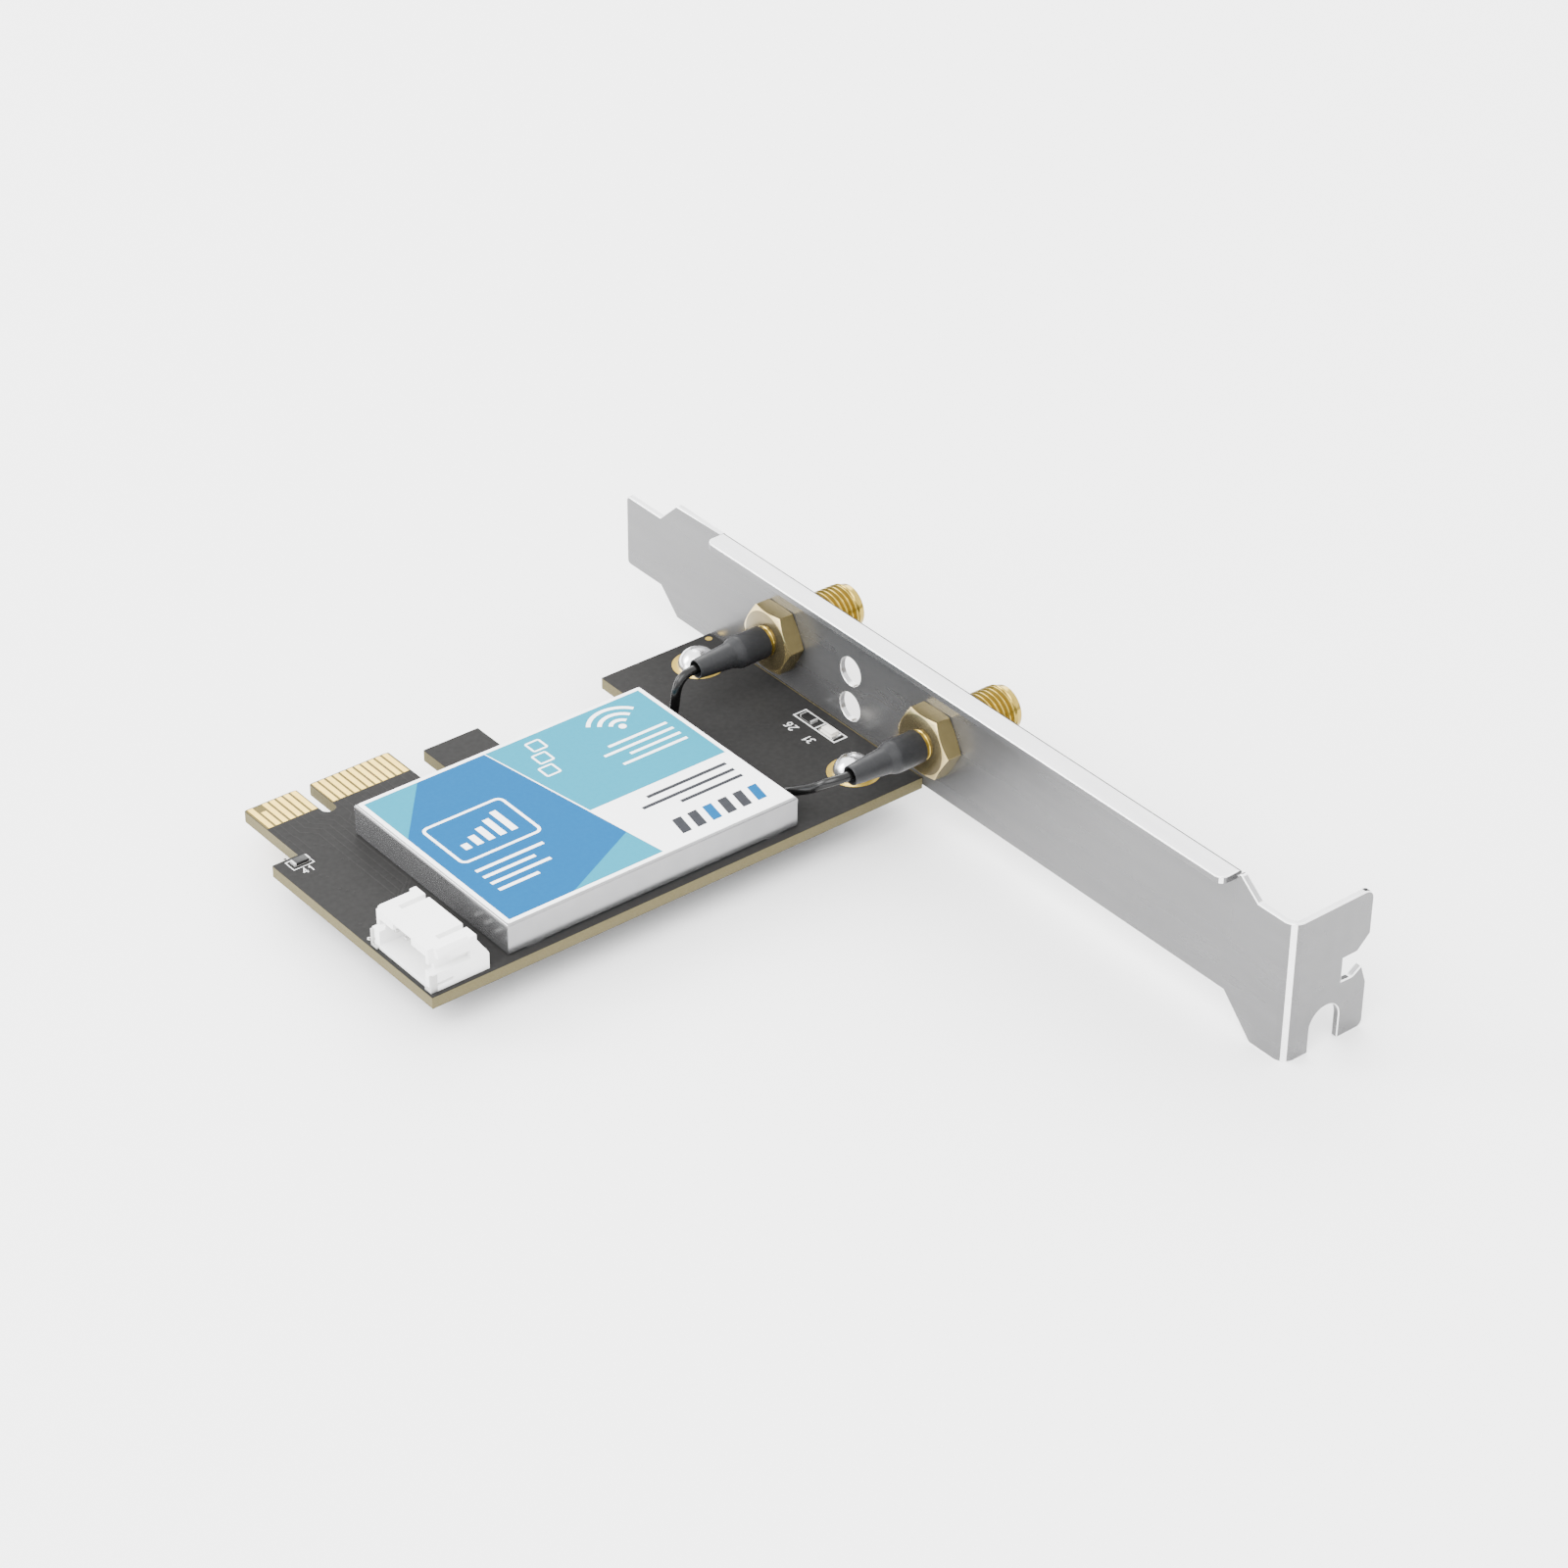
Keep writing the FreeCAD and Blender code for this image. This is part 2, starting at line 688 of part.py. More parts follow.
def make_jack(number, along):
    """A bulkhead jack: hex flange, threaded barrel with its socket, and rear collar."""
    body = new_body(f"jack_{number}_body")
    bolt = sketch_on(body, "YZ_Plane", f"jack_{number}_flats", -size.jack_flange)
    hexagon(bolt, size.flange_flats)
    pad(body, bolt, size.jack_flange, f"jack_{number}_flange")
    chamfer_corners(body, f"jack_{number}", -size.jack_flange, 1, size.flange_flats)

    # Up to just past the nut the barrel is drawn at the middle of its thread's height
    half = size.jack_thread / 2
    middle = half - size.jack_relief
    collar = -size.jack_flange - size.collar_length
    root = -size.jack_flange / 2
    nut_face = size.sheet + size.washer_thickness + size.nut_thickness
    free = nut_face + size.jack_runout
    floor = size.jack_length - size.socket_depth
    section = sketch_on(body, "XZ_Plane", f"jack_{number}_section")
    outline(section, [
        (collar, 0.0), (collar, size.collar_width / 2), (root, size.collar_width / 2),
        (root, middle), (free, middle), (free, half),
        (size.jack_length - size.jack_bevel, half), (size.jack_length, half - size.jack_bevel),
        (size.jack_length, size.socket_width / 2), (floor, size.socket_width / 2), (floor, 0.0)])
    turned(body, section, f"jack_{number}_turning")
    keep(body, f"antenna_jack_{number}", 0.0, along, size.jack_level)


def chamfer_corners(body, name, face, inward, flats):
    """Turns off a hexagon's corners at one face; inward is the way into the hexagon."""
    half = flats / 2
    past = flats * HEX_POINT / 2 + size.hex_chamfer
    lean = size.hex_chamfer * (past - half) / (half * (HEX_POINT - 1))
    cut = sketch_on(body, "XZ_Plane", f"{name}_corner_cut")
    outline(cut, [(face, half), (face + inward * lean, past), (face - inward * lean, past),
                  (face - inward * lean, half)])
    turned(body, cut, f"{name}_chamfer", "PartDesign::Groove")


def make_insulator(number, along):
    """The white insulator in the jack, bored for the centre contact."""
    body = new_body(f"insulator_{number}_body")
    floor = size.jack_length - size.socket_depth
    section = sketch_on(body, "YZ_Plane", f"insulator_{number}_round", floor)
    ring(section, 0.0, 0.0, size.socket_width)
    ring(section, 0.0, 0.0, size.contact_pin_width)
    pad(body, section, size.insulator_length, f"insulator_{number}_disc")
    keep(body, f"jack_insulator_{number}", 0.0, along, size.jack_level)


def make_jack_contact(number, along):
    """The centre contact, a pin level with the insulator's face."""
    body = new_body(f"contact_{number}_body")
    floor = size.jack_length - size.socket_depth
    rod = sketch_on(body, "YZ_Plane", f"contact_{number}_round", floor)
    ring(rod, 0.0, 0.0, size.contact_pin_width)
    pad(body, rod, size.insulator_length, f"contact_{number}_rod")
    keep(body, f"jack_contact_{number}", 0.0, along, size.jack_level)


def make_washer(number, along):
    """The lock washer between the bracket and the nut."""
    body = new_body(f"washer_{number}_body")
    flat = sketch_on(body, "YZ_Plane", f"washer_{number}_flat", size.sheet)
    ring(flat, 0.0, 0.0, size.washer_width)
    ring(flat, 0.0, 0.0, size.jack_thread + 2 * size.jack_fit)
    pad(body, flat, size.washer_thickness, f"washer_{number}_disc")
    keep(body, f"lock_washer_{number}", 0.0, along, size.jack_level)


def make_nut(number, along):
    """The hex nut that clamps the jack to the bracket, bored to the middle of the thread."""
    body = new_body(f"nut_{number}_body")
    seat = size.sheet + size.washer_thickness
    flats = sketch_on(body, "YZ_Plane", f"nut_{number}_flats", seat)
    hexagon(flats, size.nut_flats)
    pad(body, flats, size.nut_thickness, f"nut_{number}_blank")
    bore = sketch_on(body, "YZ_Plane", f"nut_{number}_bore", seat)
    ring(bore, 0.0, 0.0, size.jack_thread - 2 * size.jack_relief + size.jack_fit)
    pocket(body, bore, size.nut_thickness, f"nut_{number}_tapping", back=True)
    chamfer_corners(body, f"nut_{number}", seat + size.nut_thickness, -1, size.nut_flats)
    keep(body, f"hex_nut_{number}", 0.0, along, size.jack_level)


def make_sleeve(number, along):
    """Heat-shrink sleeve: wide behind the jack's collar, narrow over the cable."""
    body = new_body(f"sleeve_{number}_body")
    front = -size.jack_flange - size.collar_length
    bore = size.cable_width / 2 + size.sleeve_lining
    section = sketch_on(body, "XZ_Plane", f"sleeve_{number}_section")
    outline(section, [
        (-size.sleeve_end, size.sleeve_neck_width / 2),
        (-size.sleeve_neck, size.sleeve_neck_width / 2),
        (-size.sleeve_shoulder, size.sleeve_width / 2), (front, size.sleeve_width / 2),
        (front, bore), (-size.sleeve_end, bore)])
    turned(body, section, f"sleeve_{number}_turning")
    keep(body, f"cable_sleeve_{number}", 0.0, along, size.jack_level)


def cable_route(points, radii):
    """Straight runs joined by tangent arcs, with the length of the whole route."""
    edges = []
    start = points[0]
    for i, radius in enumerate(radii, start=1):
        here = points[i]
        back = (points[i - 1] - here).normalize()
        ahead = (points[i + 1] - here).normalize()
        half = back.getAngle(ahead) / 2
        run = radius / math.tan(half)
        middle = here + (back + ahead).normalize() * (radius / math.sin(half) - radius)
        edges.append(Part.LineSegment(start, here + back * run).toShape())
        edges.append(Part.Arc(here + back * run, middle, here + ahead * run).toShape())
        start = here + ahead * run
    edges.append(Part.LineSegment(start, points[-1]).toShape())
    length = sum(edge.Length for edge in edges)
    return Part.Wire(edges), length


def make_cable(number, points, radii):
    """A cable from the jack's collar to the plug, drawn with flat sides about its round."""
    places = [FreeCAD.Vector(*[number_of(value) for value in point]) for point in points]
    bends = [number_of(radius) for radius in radii]
    route, length = cable_route(places, bends)
    radius = number_of(size.cable_width) / 2
    steps = [2 * math.pi * i / CABLE_SIDES for i in range(CABLE_SIDES + 1)]
    rim = Part.makePolygon([places[0] + FreeCAD.Vector(0, math.cos(a), math.sin(a)) * radius
                            for a in steps])
    solid = route.makePipeShell([rim], True, False)
    area = CABLE_SIDES / 2 * math.sin(2 * math.pi / CABLE_SIDES) * radius ** 2
    print(f"coax_cable_{number}: length {length:.2f}, radii {bends},"
          f" volume {solid.Volume:.3f} of {area * length:.3f}")
    cable = doc.addObject("Part::Feature", f"cable_{number}")
    cable.Shape = solid
    keep(cable, f"coax_cable_{number}")


def make_cables():
    """Both cables: out of the sleeve, down beside the can, in through its gate to the plug."""
    start = -size.jack_flange - size.collar_length
    end = size.plug_width / 2 + size.plug_collar - PLUG_MIDDLE
    axis = size.jack_level
    low = size.cable_low
    drop = size.cable_gap - size.can_offset
    make_cable(1, [(start, size.jack_far, axis), (drop, size.jack_far, axis),
                   (drop, size.jack_far, low), (end, size.jack_far, low)],
               [size.far_bend, size.low_bend])
    lean = drop - size.cable_lean
    make_cable(2, [(start, -size.jack_near, axis), (lean, -size.jack_near, axis),
                   (lean - size.cable_foot, size.plug_gate, low), (end, size.plug_gate, low)],
               [size.near_bend, size.low_bend])


def make_can():
    """The shield can: a folded box open below, on four feet, with a gate for each cable."""
    body = new_body("can_body")
    left = -CAN_END
    right = -size.can_offset
    far = size.can_near + size.can_width
    wall = size.can_sheet
    top = size.can_height
    plan = sketch_on(body, "XY_Plane", "can_plan")
    box_outline(plan, left, size.can_near, right, far)
    block = pad(body, plan, top, "can_block")
    crown = body.newObject("PartDesign::Fillet", "can_crown")
    crown.Base = (block, rim_edges(block, top))
    bind(crown, "Radius", size.can_edge)

    hollow = sketch_on(body, "XY_Plane", "can_hollow")
    box_outline(hollow, left + wall, size.can_near + wall, right - wall, far - wall)
    pocket(body, hollow, top - wall, "can_inside", back=True)

    # The walls stop short of the board but for two feet on each long wall
    lift = sketch_on(body, "XZ_Plane", "long_wall_lift")
    foot = left + size.can_foot_inset
    other = right - size.can_foot_inset
    width = size.can_foot_width
    past = size.can_foot_width
    for low_x, high_x in ((left - past, foot), (foot + width, other - width), (other, right + past)):
        box_outline(lift, low_x, -past, high_x, size.can_lift)
    pocket(body, lift, 3 * size.can_width, "long_wall_clearance", middle=True)

    gates = sketch_on(body, "YZ_Plane", "cable_gates", right)
    for along in (size.jack_far, size.plug_gate):
        half = size.gate_width / 2
        box_outline(gates, along - half, -past, along + half, size.gate_height)
    pocket(body, gates, 6 * wall, "gate_cutting", middle=True)
    keep(body, "shield_can")


def rim_edges(feature, level):
    """Names of the edges of a feature that lie level at the given height."""
    doc.recompute()
    names = []
    for number, edge in enumerate(feature.Shape.Edges, start=1):
        bounds = edge.BoundBox
        if abs(bounds.ZMin - number_of(level)) < 1e-4 and bounds.ZLength < 1e-4:
            names.append(f"Edge{number}")
    return names


def make_label():
    inset = size.label_inset
    body = new_body("label_body")
    flat = sketch_on(body, "XY_Plane", "label_plan", size.can_height)
    box_outline(flat, inset - CAN_END, size.can_near + inset,
                -size.can_offset - inset, size.can_near + size.can_width - inset)
    pad(body, flat, size.label_thickness, "label_sheet")
    keep(body, "shield_label")


def make_chip_case(label, offset, depth, length, width, height):
    """A square chip case with bevelled upper edges, standing on the board."""
    body = new_body(label + "_body")
    plan = sketch_on(body, "XY_Plane", label + "_plan")
    box_outline(plan, -length / 2, -width / 2, length / 2, width / 2)
    block = pad(body, plan, height, label + "_block")
    bevel = body.newObject("PartDesign::Chamfer", label + "_bevel")
    bevel.Base = (block, rim_edges(block, height))
    bind(bevel, "Size", size.chip_corner)
    keep(body, label, -offset, depth)


def make_inner_chips():
    """The chips under the can: radio, power, memory, crystal, and one stage for each antenna."""
    middle = size.can_offset + size.can_length / 2
    depth = size.can_near + size.can_width / 2
    inner = CAN_END - size.chip_inset
    make_chip_case("radio_chip", middle, depth, size.radio_size, size.radio_size,
                   size.radio_height)
    make_chip_case("power_chip", inner, depth - size.chip_spread, size.power_size,
                   size.power_size, size.radio_height)
    make_chip_case("memory_chip", inner, depth + size.chip_spread, size.memory_length,
                   size.memory_width, size.small_chip_height)
    make_chip_case("crystal", middle,
                   depth - (size.radio_size + size.crystal_width) / 2 - size.crystal_gap,
                   size.crystal_length, size.crystal_width, size.small_chip_height)
    for number, along in ((1, size.jack_far), (2, size.plug_gate)):
        make_chip_case(f"front_end_chip_{number}", PLUG_MIDDLE + size.front_end_gap, along,
                       size.front_end_size, size.front_end_size, size.small_chip_height)


def make_receptacle(number, along):
    """A micro coax receptacle on the board: a square base and a round barrel."""
    body = new_body(f"receptacle_{number}_body")
    half = size.receptacle_size / 2
    base = sketch_on(body, "XY_Plane", f"receptacle_{number}_plan")
    box_outline(base, -half, -half, half, half)
    pad(body, base, size.receptacle_base, f"receptacle_{number}_base")
    barrel = sketch_on(body, "XY_Plane", f"receptacle_{number}_round")
    ring(barrel, 0.0, 0.0, size.receptacle_ring)
    pad(body, barrel, size.receptacle_height, f"receptacle_{number}_barrel")
    keep(body, f"antenna_receptacle_{number}", -PLUG_MIDDLE, along)


def make_plug(number, along):
    """The plug on the cable's end: a cap over the receptacle's barrel, with a square collar."""
    body = new_body(f"plug_{number}_body")
    seat = size.receptacle_base
    cap = sketch_on(body, "XY_Plane", f"plug_{number}_round", seat)
    ring(cap, 0.0, 0.0, size.plug_width)
    pad(body, cap, size.plug_height - seat, f"plug_{number}_cap")
    # The cable's end meets the collar's outer face
    grip = sketch_on(body, "YZ_Plane", f"plug_{number}_collar")
    half = size.plug_collar_width / 2
    box_outline(grip, -half, size.cable_low - half, half, size.cable_low + half)
    pad(body, grip, size.plug_width / 2 + size.plug_collar, f"plug_{number}_barrel")
    inside = sketch_on(body, "XY_Plane", f"plug_{number}_inside", seat)
    ring(inside, 0.0, 0.0, size.receptacle_ring)
    pocket(body, inside, size.receptacle_height - seat, f"plug_{number}_hollow", back=True)
    keep(body, f"cable_plug_{number}", -PLUG_MIDDLE, along)


def make_header():
    """The moulded side-entry housing, open to the board's end."""
    body = new_body("header_body")
    width = size.header_width
    profile = sketch_on(body, "XZ_Plane", "header_profile")
    outline(profile, [
        (size.header_front, 0.0), (size.header_front, size.header_cheek),
        (size.header_shoulder, size.header_cheek), (size.header_shoulder, size.header_height),
        (size.header_roof, size.header_height), (size.header_roof, size.header_step),
        (size.header_depth, size.header_heel), (size.header_depth, 0.0)])
    pad(body, profile, width, "header_block", back=True)
    lip = sketch_on(body, "YZ_Plane", "header_lip_plan", size.header_lip)
    box_outline(lip, size.lip_inset, size.lip_bottom, width - size.lip_inset, size.header_height)
    pad(body, lip, size.header_shoulder - size.header_lip, "header_lip")

    mouth = sketch_on(body, "YZ_Plane", "header_mouth")
    wall = size.mouth_wall
    box_outline(mouth, wall, size.header_floor, width - wall, size.mouth_high)
    pocket(body, mouth, size.mouth_end, "mouth_cut", back=True)
    channel = sketch_on(body, "YZ_Plane", "header_channel")
    low = (width - size.channel_width) / 2
    box_outline(channel, low, size.lip_bottom, low + size.channel_width, size.channel_high)
    pocket(body, channel, size.channel_end, "channel_cut", back=True)

    grooves = sketch_on(body, "XY_Plane", "header_grooves", size.header_height - size.groove_depth)
    for edge in (size.groove_inset, width - size.groove_inset - size.groove_width):
        box_outline(grooves, size.groove_start, edge, size.header_depth, edge + size.groove_width)
    pocket(body, grooves, 2 * size.groove_depth, "groove_cut", back=True)

    # Both ends: a stepped window open to the front, a low slot, and ramps along the top edge
    for end, lift, back in (("near", 0.0, False), ("far", -width, True)):
        window = sketch_on(body, "XZ_Plane", end + "_window_plan", lift)
        outline(window, [(0.0, size.header_cheek), (size.window_end, size.header_cheek),
                         (size.window_end, size.window_high), (size.window_start, size.window_high),
                         (size.window_start, size.window_step), (0.0, size.window_step)])
        pocket(body, window, size.lip_inset, end + "_window", back=back)
        slot = sketch_on(body, "XZ_Plane", end + "_low_slot_plan", lift)
        box_outline(slot, 0.0, size.low_slot_floor, size.low_slot_end,
                    size.low_slot_floor + size.low_slot_height)
        pocket(body, slot, size.low_slot_depth, end + "_low_slot", back=back)
    ramps = sketch_on(body, "YZ_Plane", "header_ramps", size.header_shoulder)
    top = size.header_height
    for edge, inner in ((0.0, size.ramp_width), (width, width - size.ramp_width)):
        outline(ramps, [(edge, top - size.ramp_height), (inner, top), (edge, top)])
    pocket(body, ramps, size.window_end - size.header_shoulder, "ramp_cut", back=True)

    # Seats of the two solder tabs, and holes through the back wall for the pins
    seats = sketch_on(body, "YZ_Plane", "tab_seats")
    for corners in anchor_corners(width):
        outline(seats, corners)
    pocket(body, seats, size.anchor_length, "tab_seat_cut", back=True)
    holes = sketch_on(body, "YZ_Plane", "pin_holes", size.mouth_end / 2)
    half = size.pin_side / 2
    for along in pin_places():
        box_outline(holes, along - half, size.pin_level - half, along + half, size.pin_level + half)
    pocket(body, holes, size.header_depth, "pin_cut", back=True)
    keep(body, "header_housing", -HEADER_FRONT, size.header_near)


def anchor_corners(width):
    """Outlines of the two bent solder tabs, seen along the card."""
    thick = size.anchor_thickness
    near = [(0.0, 0.0), (size.anchor_foot, 0.0), (size.anchor_foot, thick), (thick, thick),
            (thick, size.anchor_height), (0.0, size.anchor_height)]
    far = [(width - u, v) for u, v in near]
    return near, far


def pin_places():
    middle = size.header_width / 2
    return [middle + (i - (HEADER_PINS - 1) / 2) * size.header_pitch for i in range(HEADER_PINS)]


def make_header_pins():
    """Square pins bent down behind the housing to their feet on the board."""
    half = size.pin_side / 2
    side = size.pin_side
    back = size.header_depth + side
    pins = []
    for i, along in enumerate(pin_places()):
        body = new_body(f"header_pin_{i}_body")
        section = sketch_on(body, "XZ_Plane", f"header_pin_{i}_section", -along)
        outline(section, [
            (size.pin_tip, size.pin_level - half), (size.pin_tip, size.pin_level + half),
            (back, size.pin_level + half), (back, side),
            (back + size.pin_foot, side), (back + size.pin_foot, 0.0),
            (back - side, 0.0), (back - side, size.pin_level - half)])
        pad(body, section, side, f"header_pin_{i}_bar", middle=True)
        pins.append(body)
    keep(group("header_pins_group", pins), "header_pins", -HEADER_FRONT, size.header_near)


def make_header_tabs():
    """Bent solder tabs at both ends of the housing."""
    tabs = []
    for end, corners in zip(("near", "far"), anchor_corners(size.header_width)):
        body = new_body(f"header_tab_{end}_body")
        section = sketch_on(body, "YZ_Plane", f"header_tab_{end}_section")
        outline(section, corners)
        pad(body, section, size.anchor_length, f"header_tab_{end}_plate")
        tabs.append(body)
    keep(group("header_tabs_group", tabs), "header_solder_tabs",
         -HEADER_FRONT, size.header_near)


def make_chip(label, x, y, along_y, length, width, height):
    """A chip part: its body between two end caps, as three solids."""
    half = length / 2
    wide = width / 2
    blocks = []
    spans = ((-half, size.chip_cap), (size.chip_cap - half, length - 2 * size.chip_cap),
             (half - size.chip_cap, size.chip_cap))
    for i, (start, run) in enumerate(spans):
        if along_y:
            blocks.append(box(f"{label}_{i}", -wide, start, 0.0, width, run, height))
        else:
            blocks.append(box(f"{label}_{i}", start, -wide, 0.0, run, width, height))
    keep(group(label + "_group", blocks), label, x, y)


def make_small_chips():
    make_chip("led_resistor", -size.marker_offset, size.marker_resistor, True,
              size.chip_length, size.chip_width, size.chip_height)
    make_chip("status_led", -size.marker_offset, size.marker_light, True,
              size.light_length, size.light_chip_width, size.light_height)
    make_chip("corner_resistor", size.corner_chip_inset - BOARD_END, size.corner_chip_depth, False,
              size.chip_length, size.chip_width, size.chip_height)


def make_everything():
    make_bracket()
    make_board()
    below = -size.board_thickness - size.plating
    make_contacts("edge_contacts_front", 0.0, -6.5)
    make_contacts("edge_contacts_back", below, 11.5)
    for side, along in (("near", size.rivet_near), ("far", size.rivet_far)):
        make_pad_ring(f"rivet_pad_{side}", along)
        make_rivet(f"rivet_{side}", along)
    for number, along in ((1, size.jack_far), (2, -size.jack_near)):
        make_jack(number, along)
        make_insulator(number, along)
        make_jack_contact(number, along)
        make_washer(number, along)
        make_nut(number, along)
        make_sleeve(number, along)
    make_cables()
    make_can()
    make_label()
    make_inner_chips()
    for number, along in ((1, size.jack_far), (2, size.plug_gate)):
        make_receptacle(number, along)
        make_plug(number, along)
    make_header()
    make_header_pins()
    make_header_tabs()
    make_small_chips()


def check_and_write():
    doc.recompute()
    for thing in doc.Objects:
        if "Invalid" in thing.State or "Error" in thing.State:
            raise RuntimeError(f"{thing.Label} failed: {thing.State}")
    os.makedirs("parts", exist_ok=True)
    for part in PARTS:
        shape = part.Shape
        if shape.isNull() or not shape.isValid():
            raise RuntimeError(f"{part.Label} has no valid shape")
        shape.exportStep(f"parts/{part.Label}.step")
        bounds = shape.BoundBox
        print(f"{part.Label}: {len(shape.Solids)} solids, {shape.Volume:.3f} mm3,"
              f" z {bounds.ZMin:.2f} to {bounds.ZMax:.2f}")


make_everything()
check_and_write()
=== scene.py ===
import bmesh
import bpy
import math
from mathutils import Euler, Matrix, Vector


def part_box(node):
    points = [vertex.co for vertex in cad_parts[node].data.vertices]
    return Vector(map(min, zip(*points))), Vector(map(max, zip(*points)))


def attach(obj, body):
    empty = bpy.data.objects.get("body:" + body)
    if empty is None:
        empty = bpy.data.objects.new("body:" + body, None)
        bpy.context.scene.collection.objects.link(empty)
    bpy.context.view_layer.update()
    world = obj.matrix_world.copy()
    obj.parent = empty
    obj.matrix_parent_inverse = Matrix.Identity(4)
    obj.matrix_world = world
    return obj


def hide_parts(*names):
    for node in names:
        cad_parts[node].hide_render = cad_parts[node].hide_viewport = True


# Looks of the expansion card. Places are millimetres from the card's datum: x from the bracket's
# inner face, y from the board's near edge, z from the board's top face.

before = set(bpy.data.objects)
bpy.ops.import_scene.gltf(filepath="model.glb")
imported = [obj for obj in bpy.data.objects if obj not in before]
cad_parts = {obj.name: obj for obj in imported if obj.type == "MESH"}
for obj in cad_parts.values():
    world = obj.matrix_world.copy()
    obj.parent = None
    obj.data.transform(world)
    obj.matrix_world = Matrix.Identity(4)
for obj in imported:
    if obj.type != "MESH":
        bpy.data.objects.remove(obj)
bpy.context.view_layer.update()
BOARD_LOW, BOARD_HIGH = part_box("circuit_board")
BRACKET_GAP = 0.00008
DATUM = Vector((BOARD_HIGH[0] + BRACKET_GAP, BOARD_LOW[1], BOARD_HIGH[2]))

# The board: x of the key notch, steps of the contacts from it, where mask and tracks end at the
# connector tongue, and an x between that and the retention tab
BOARD_THICK = 1.57
KEY_MIDDLE = -59.06
KEY_TO_CONTACT = 1.5
MASK_END = 38.82
TRACK_END = 38.8
TONGUE_SIDE = -46.0

# The bracket's sheet
SHEET = 0.86
FLANGE_START = 39.3

# The antenna jacks, as (number, y)
JACKS = ((1, 27.1), (2, -2.2))
JACK_LEVEL = 6.75
THREAD_CREST = 3.155
THREAD_DEPTH = 0.40
THREAD_PITCH = 0.7056

# The shield can's near and far corners, and the middles of its two cable gates
CAN = ((-59.6, 1.15), (-18.2, 31.75))
CAN_TOP = 4.1
CAN_BEND = 0.35
CABLE_GATES = (6.6, 27.1)


def at(x, y, z):
    """A place on the card, in metres in the row frame."""
    return DATUM + Vector((x, y, z)) / 1000


# Node materials

NOISE_LOW = 0.3
NOISE_HIGH = 0.7
COARSER = 0.31
BUMP_DEPTH = 0.00002


class Paint:
    """A node material built round one Principled shader."""

    def __init__(self, name, metallic=0.0, **values):
        self.material = bpy.data.materials.new(name)
        self.material.use_nodes = True
        self.tree = self.material.node_tree
        self.shader = self.tree.nodes["Principled BSDF"]
        self.shader.inputs["Metallic"].default_value = metallic
        for key, value in values.items():
            self.shader.inputs[key.replace("_", " ")].default_value = value
        self.where = self.add("ShaderNodeTexCoord").outputs["Object"]

    def add(self, kind, inputs=None, **settings):
        """A new node with its settings, and its inputs linked or set."""
        node = self.tree.nodes.new(kind)
        for key, value in settings.items():
            setattr(node, key, value)
        for key, value in (inputs or {}).items():
            self.feed(node.inputs[key], value)
        return node

    def feed(self, socket, value):
        if isinstance(value, bpy.types.NodeSocket):
            self.tree.links.new(value, socket)
        else:
            socket.default_value = value

    def noise(self, scale, detail=3.0, rough=0.5, stretch=None):
        """A noise value; scale is in features per metre."""
        place = self.where
        if stretch:
            mapped = self.add("ShaderNodeMapping", {"Vector": place, "Scale": stretch})
            place = mapped.outputs["Vector"]
        return self.add("ShaderNodeTexNoise", {
            "Vector": place, "Scale": scale, "Detail": detail, "Roughness": rough}).outputs["Fac"]

    def ramp(self, value, *stops):
        """Colours by value; each stop is (position, colour)."""
        node = self.add("ShaderNodeValToRGB", {"Fac": value})
        band = node.color_ramp
        while len(band.elements) < len(stops):
            band.elements.new(0.5)
        for element, (position, colour) in zip(band.elements, stops):
            element.position = position
            element.color = (*colour, 1.0)
        return node.outputs["Color"]

    def span(self, value, low, high):
        """A noise value spread over the range from low to high."""
        return self.add("ShaderNodeMapRange", {
            "Value": value, "From Min": NOISE_LOW, "From Max": NOISE_HIGH,
            "To Min": low, "To Max": high}).outputs["Result"]

    def math(self, operation, first, second=0.0):
        node = self.add("ShaderNodeMath", operation=operation)
        self.feed(node.inputs[0], first)
        self.feed(node.inputs[1], second)
        return node.outputs["Value"]

    def mix(self, factor, first, second):
        """The first colour where the factor is 0, the second where it is 1."""
        node = self.add("ShaderNodeMix", data_type="RGBA")
        self.feed(node.inputs[0], factor)
        self.feed(node.inputs[6], first)
        self.feed(node.inputs[7], second)
        return node.outputs[2]

    def axis(self, letter):
        return self.add("ShaderNodeSeparateXYZ", {"Vector": self.where}).outputs[letter]

    def colour(self, value):
        self.feed(self.shader.inputs["Base Color"], value)

    def rough(self, value):
        self.feed(self.shader.inputs["Roughness"], value)

    def bump(self, height, strength, distance=BUMP_DEPTH):
        """Relief in the surface; distance is its depth in metres."""
        node = self.add("ShaderNodeBump", {
            "Height": height, "Strength": strength, "Distance": distance})
        self.feed(self.shader.inputs["Normal"], node.outputs["Normal"])


def tinted(name, metallic, scale, dark, light, low, high, bump=0.0, depth=BUMP_DEPTH,
           stretch=None, **values):
    """A finish with slight variation: colour from dark to light, roughness from low to high."""
    paint = Paint(name, metallic, **values)
    value = paint.noise(scale, stretch=stretch)
    paint.colour(paint.ramp(value, (NOISE_LOW, dark), (NOISE_HIGH, light)))
    paint.rough(paint.span(paint.noise(scale * COARSER, stretch=stretch), low, high))
    if bump:
        paint.bump(value, bump, depth)
    return paint.material


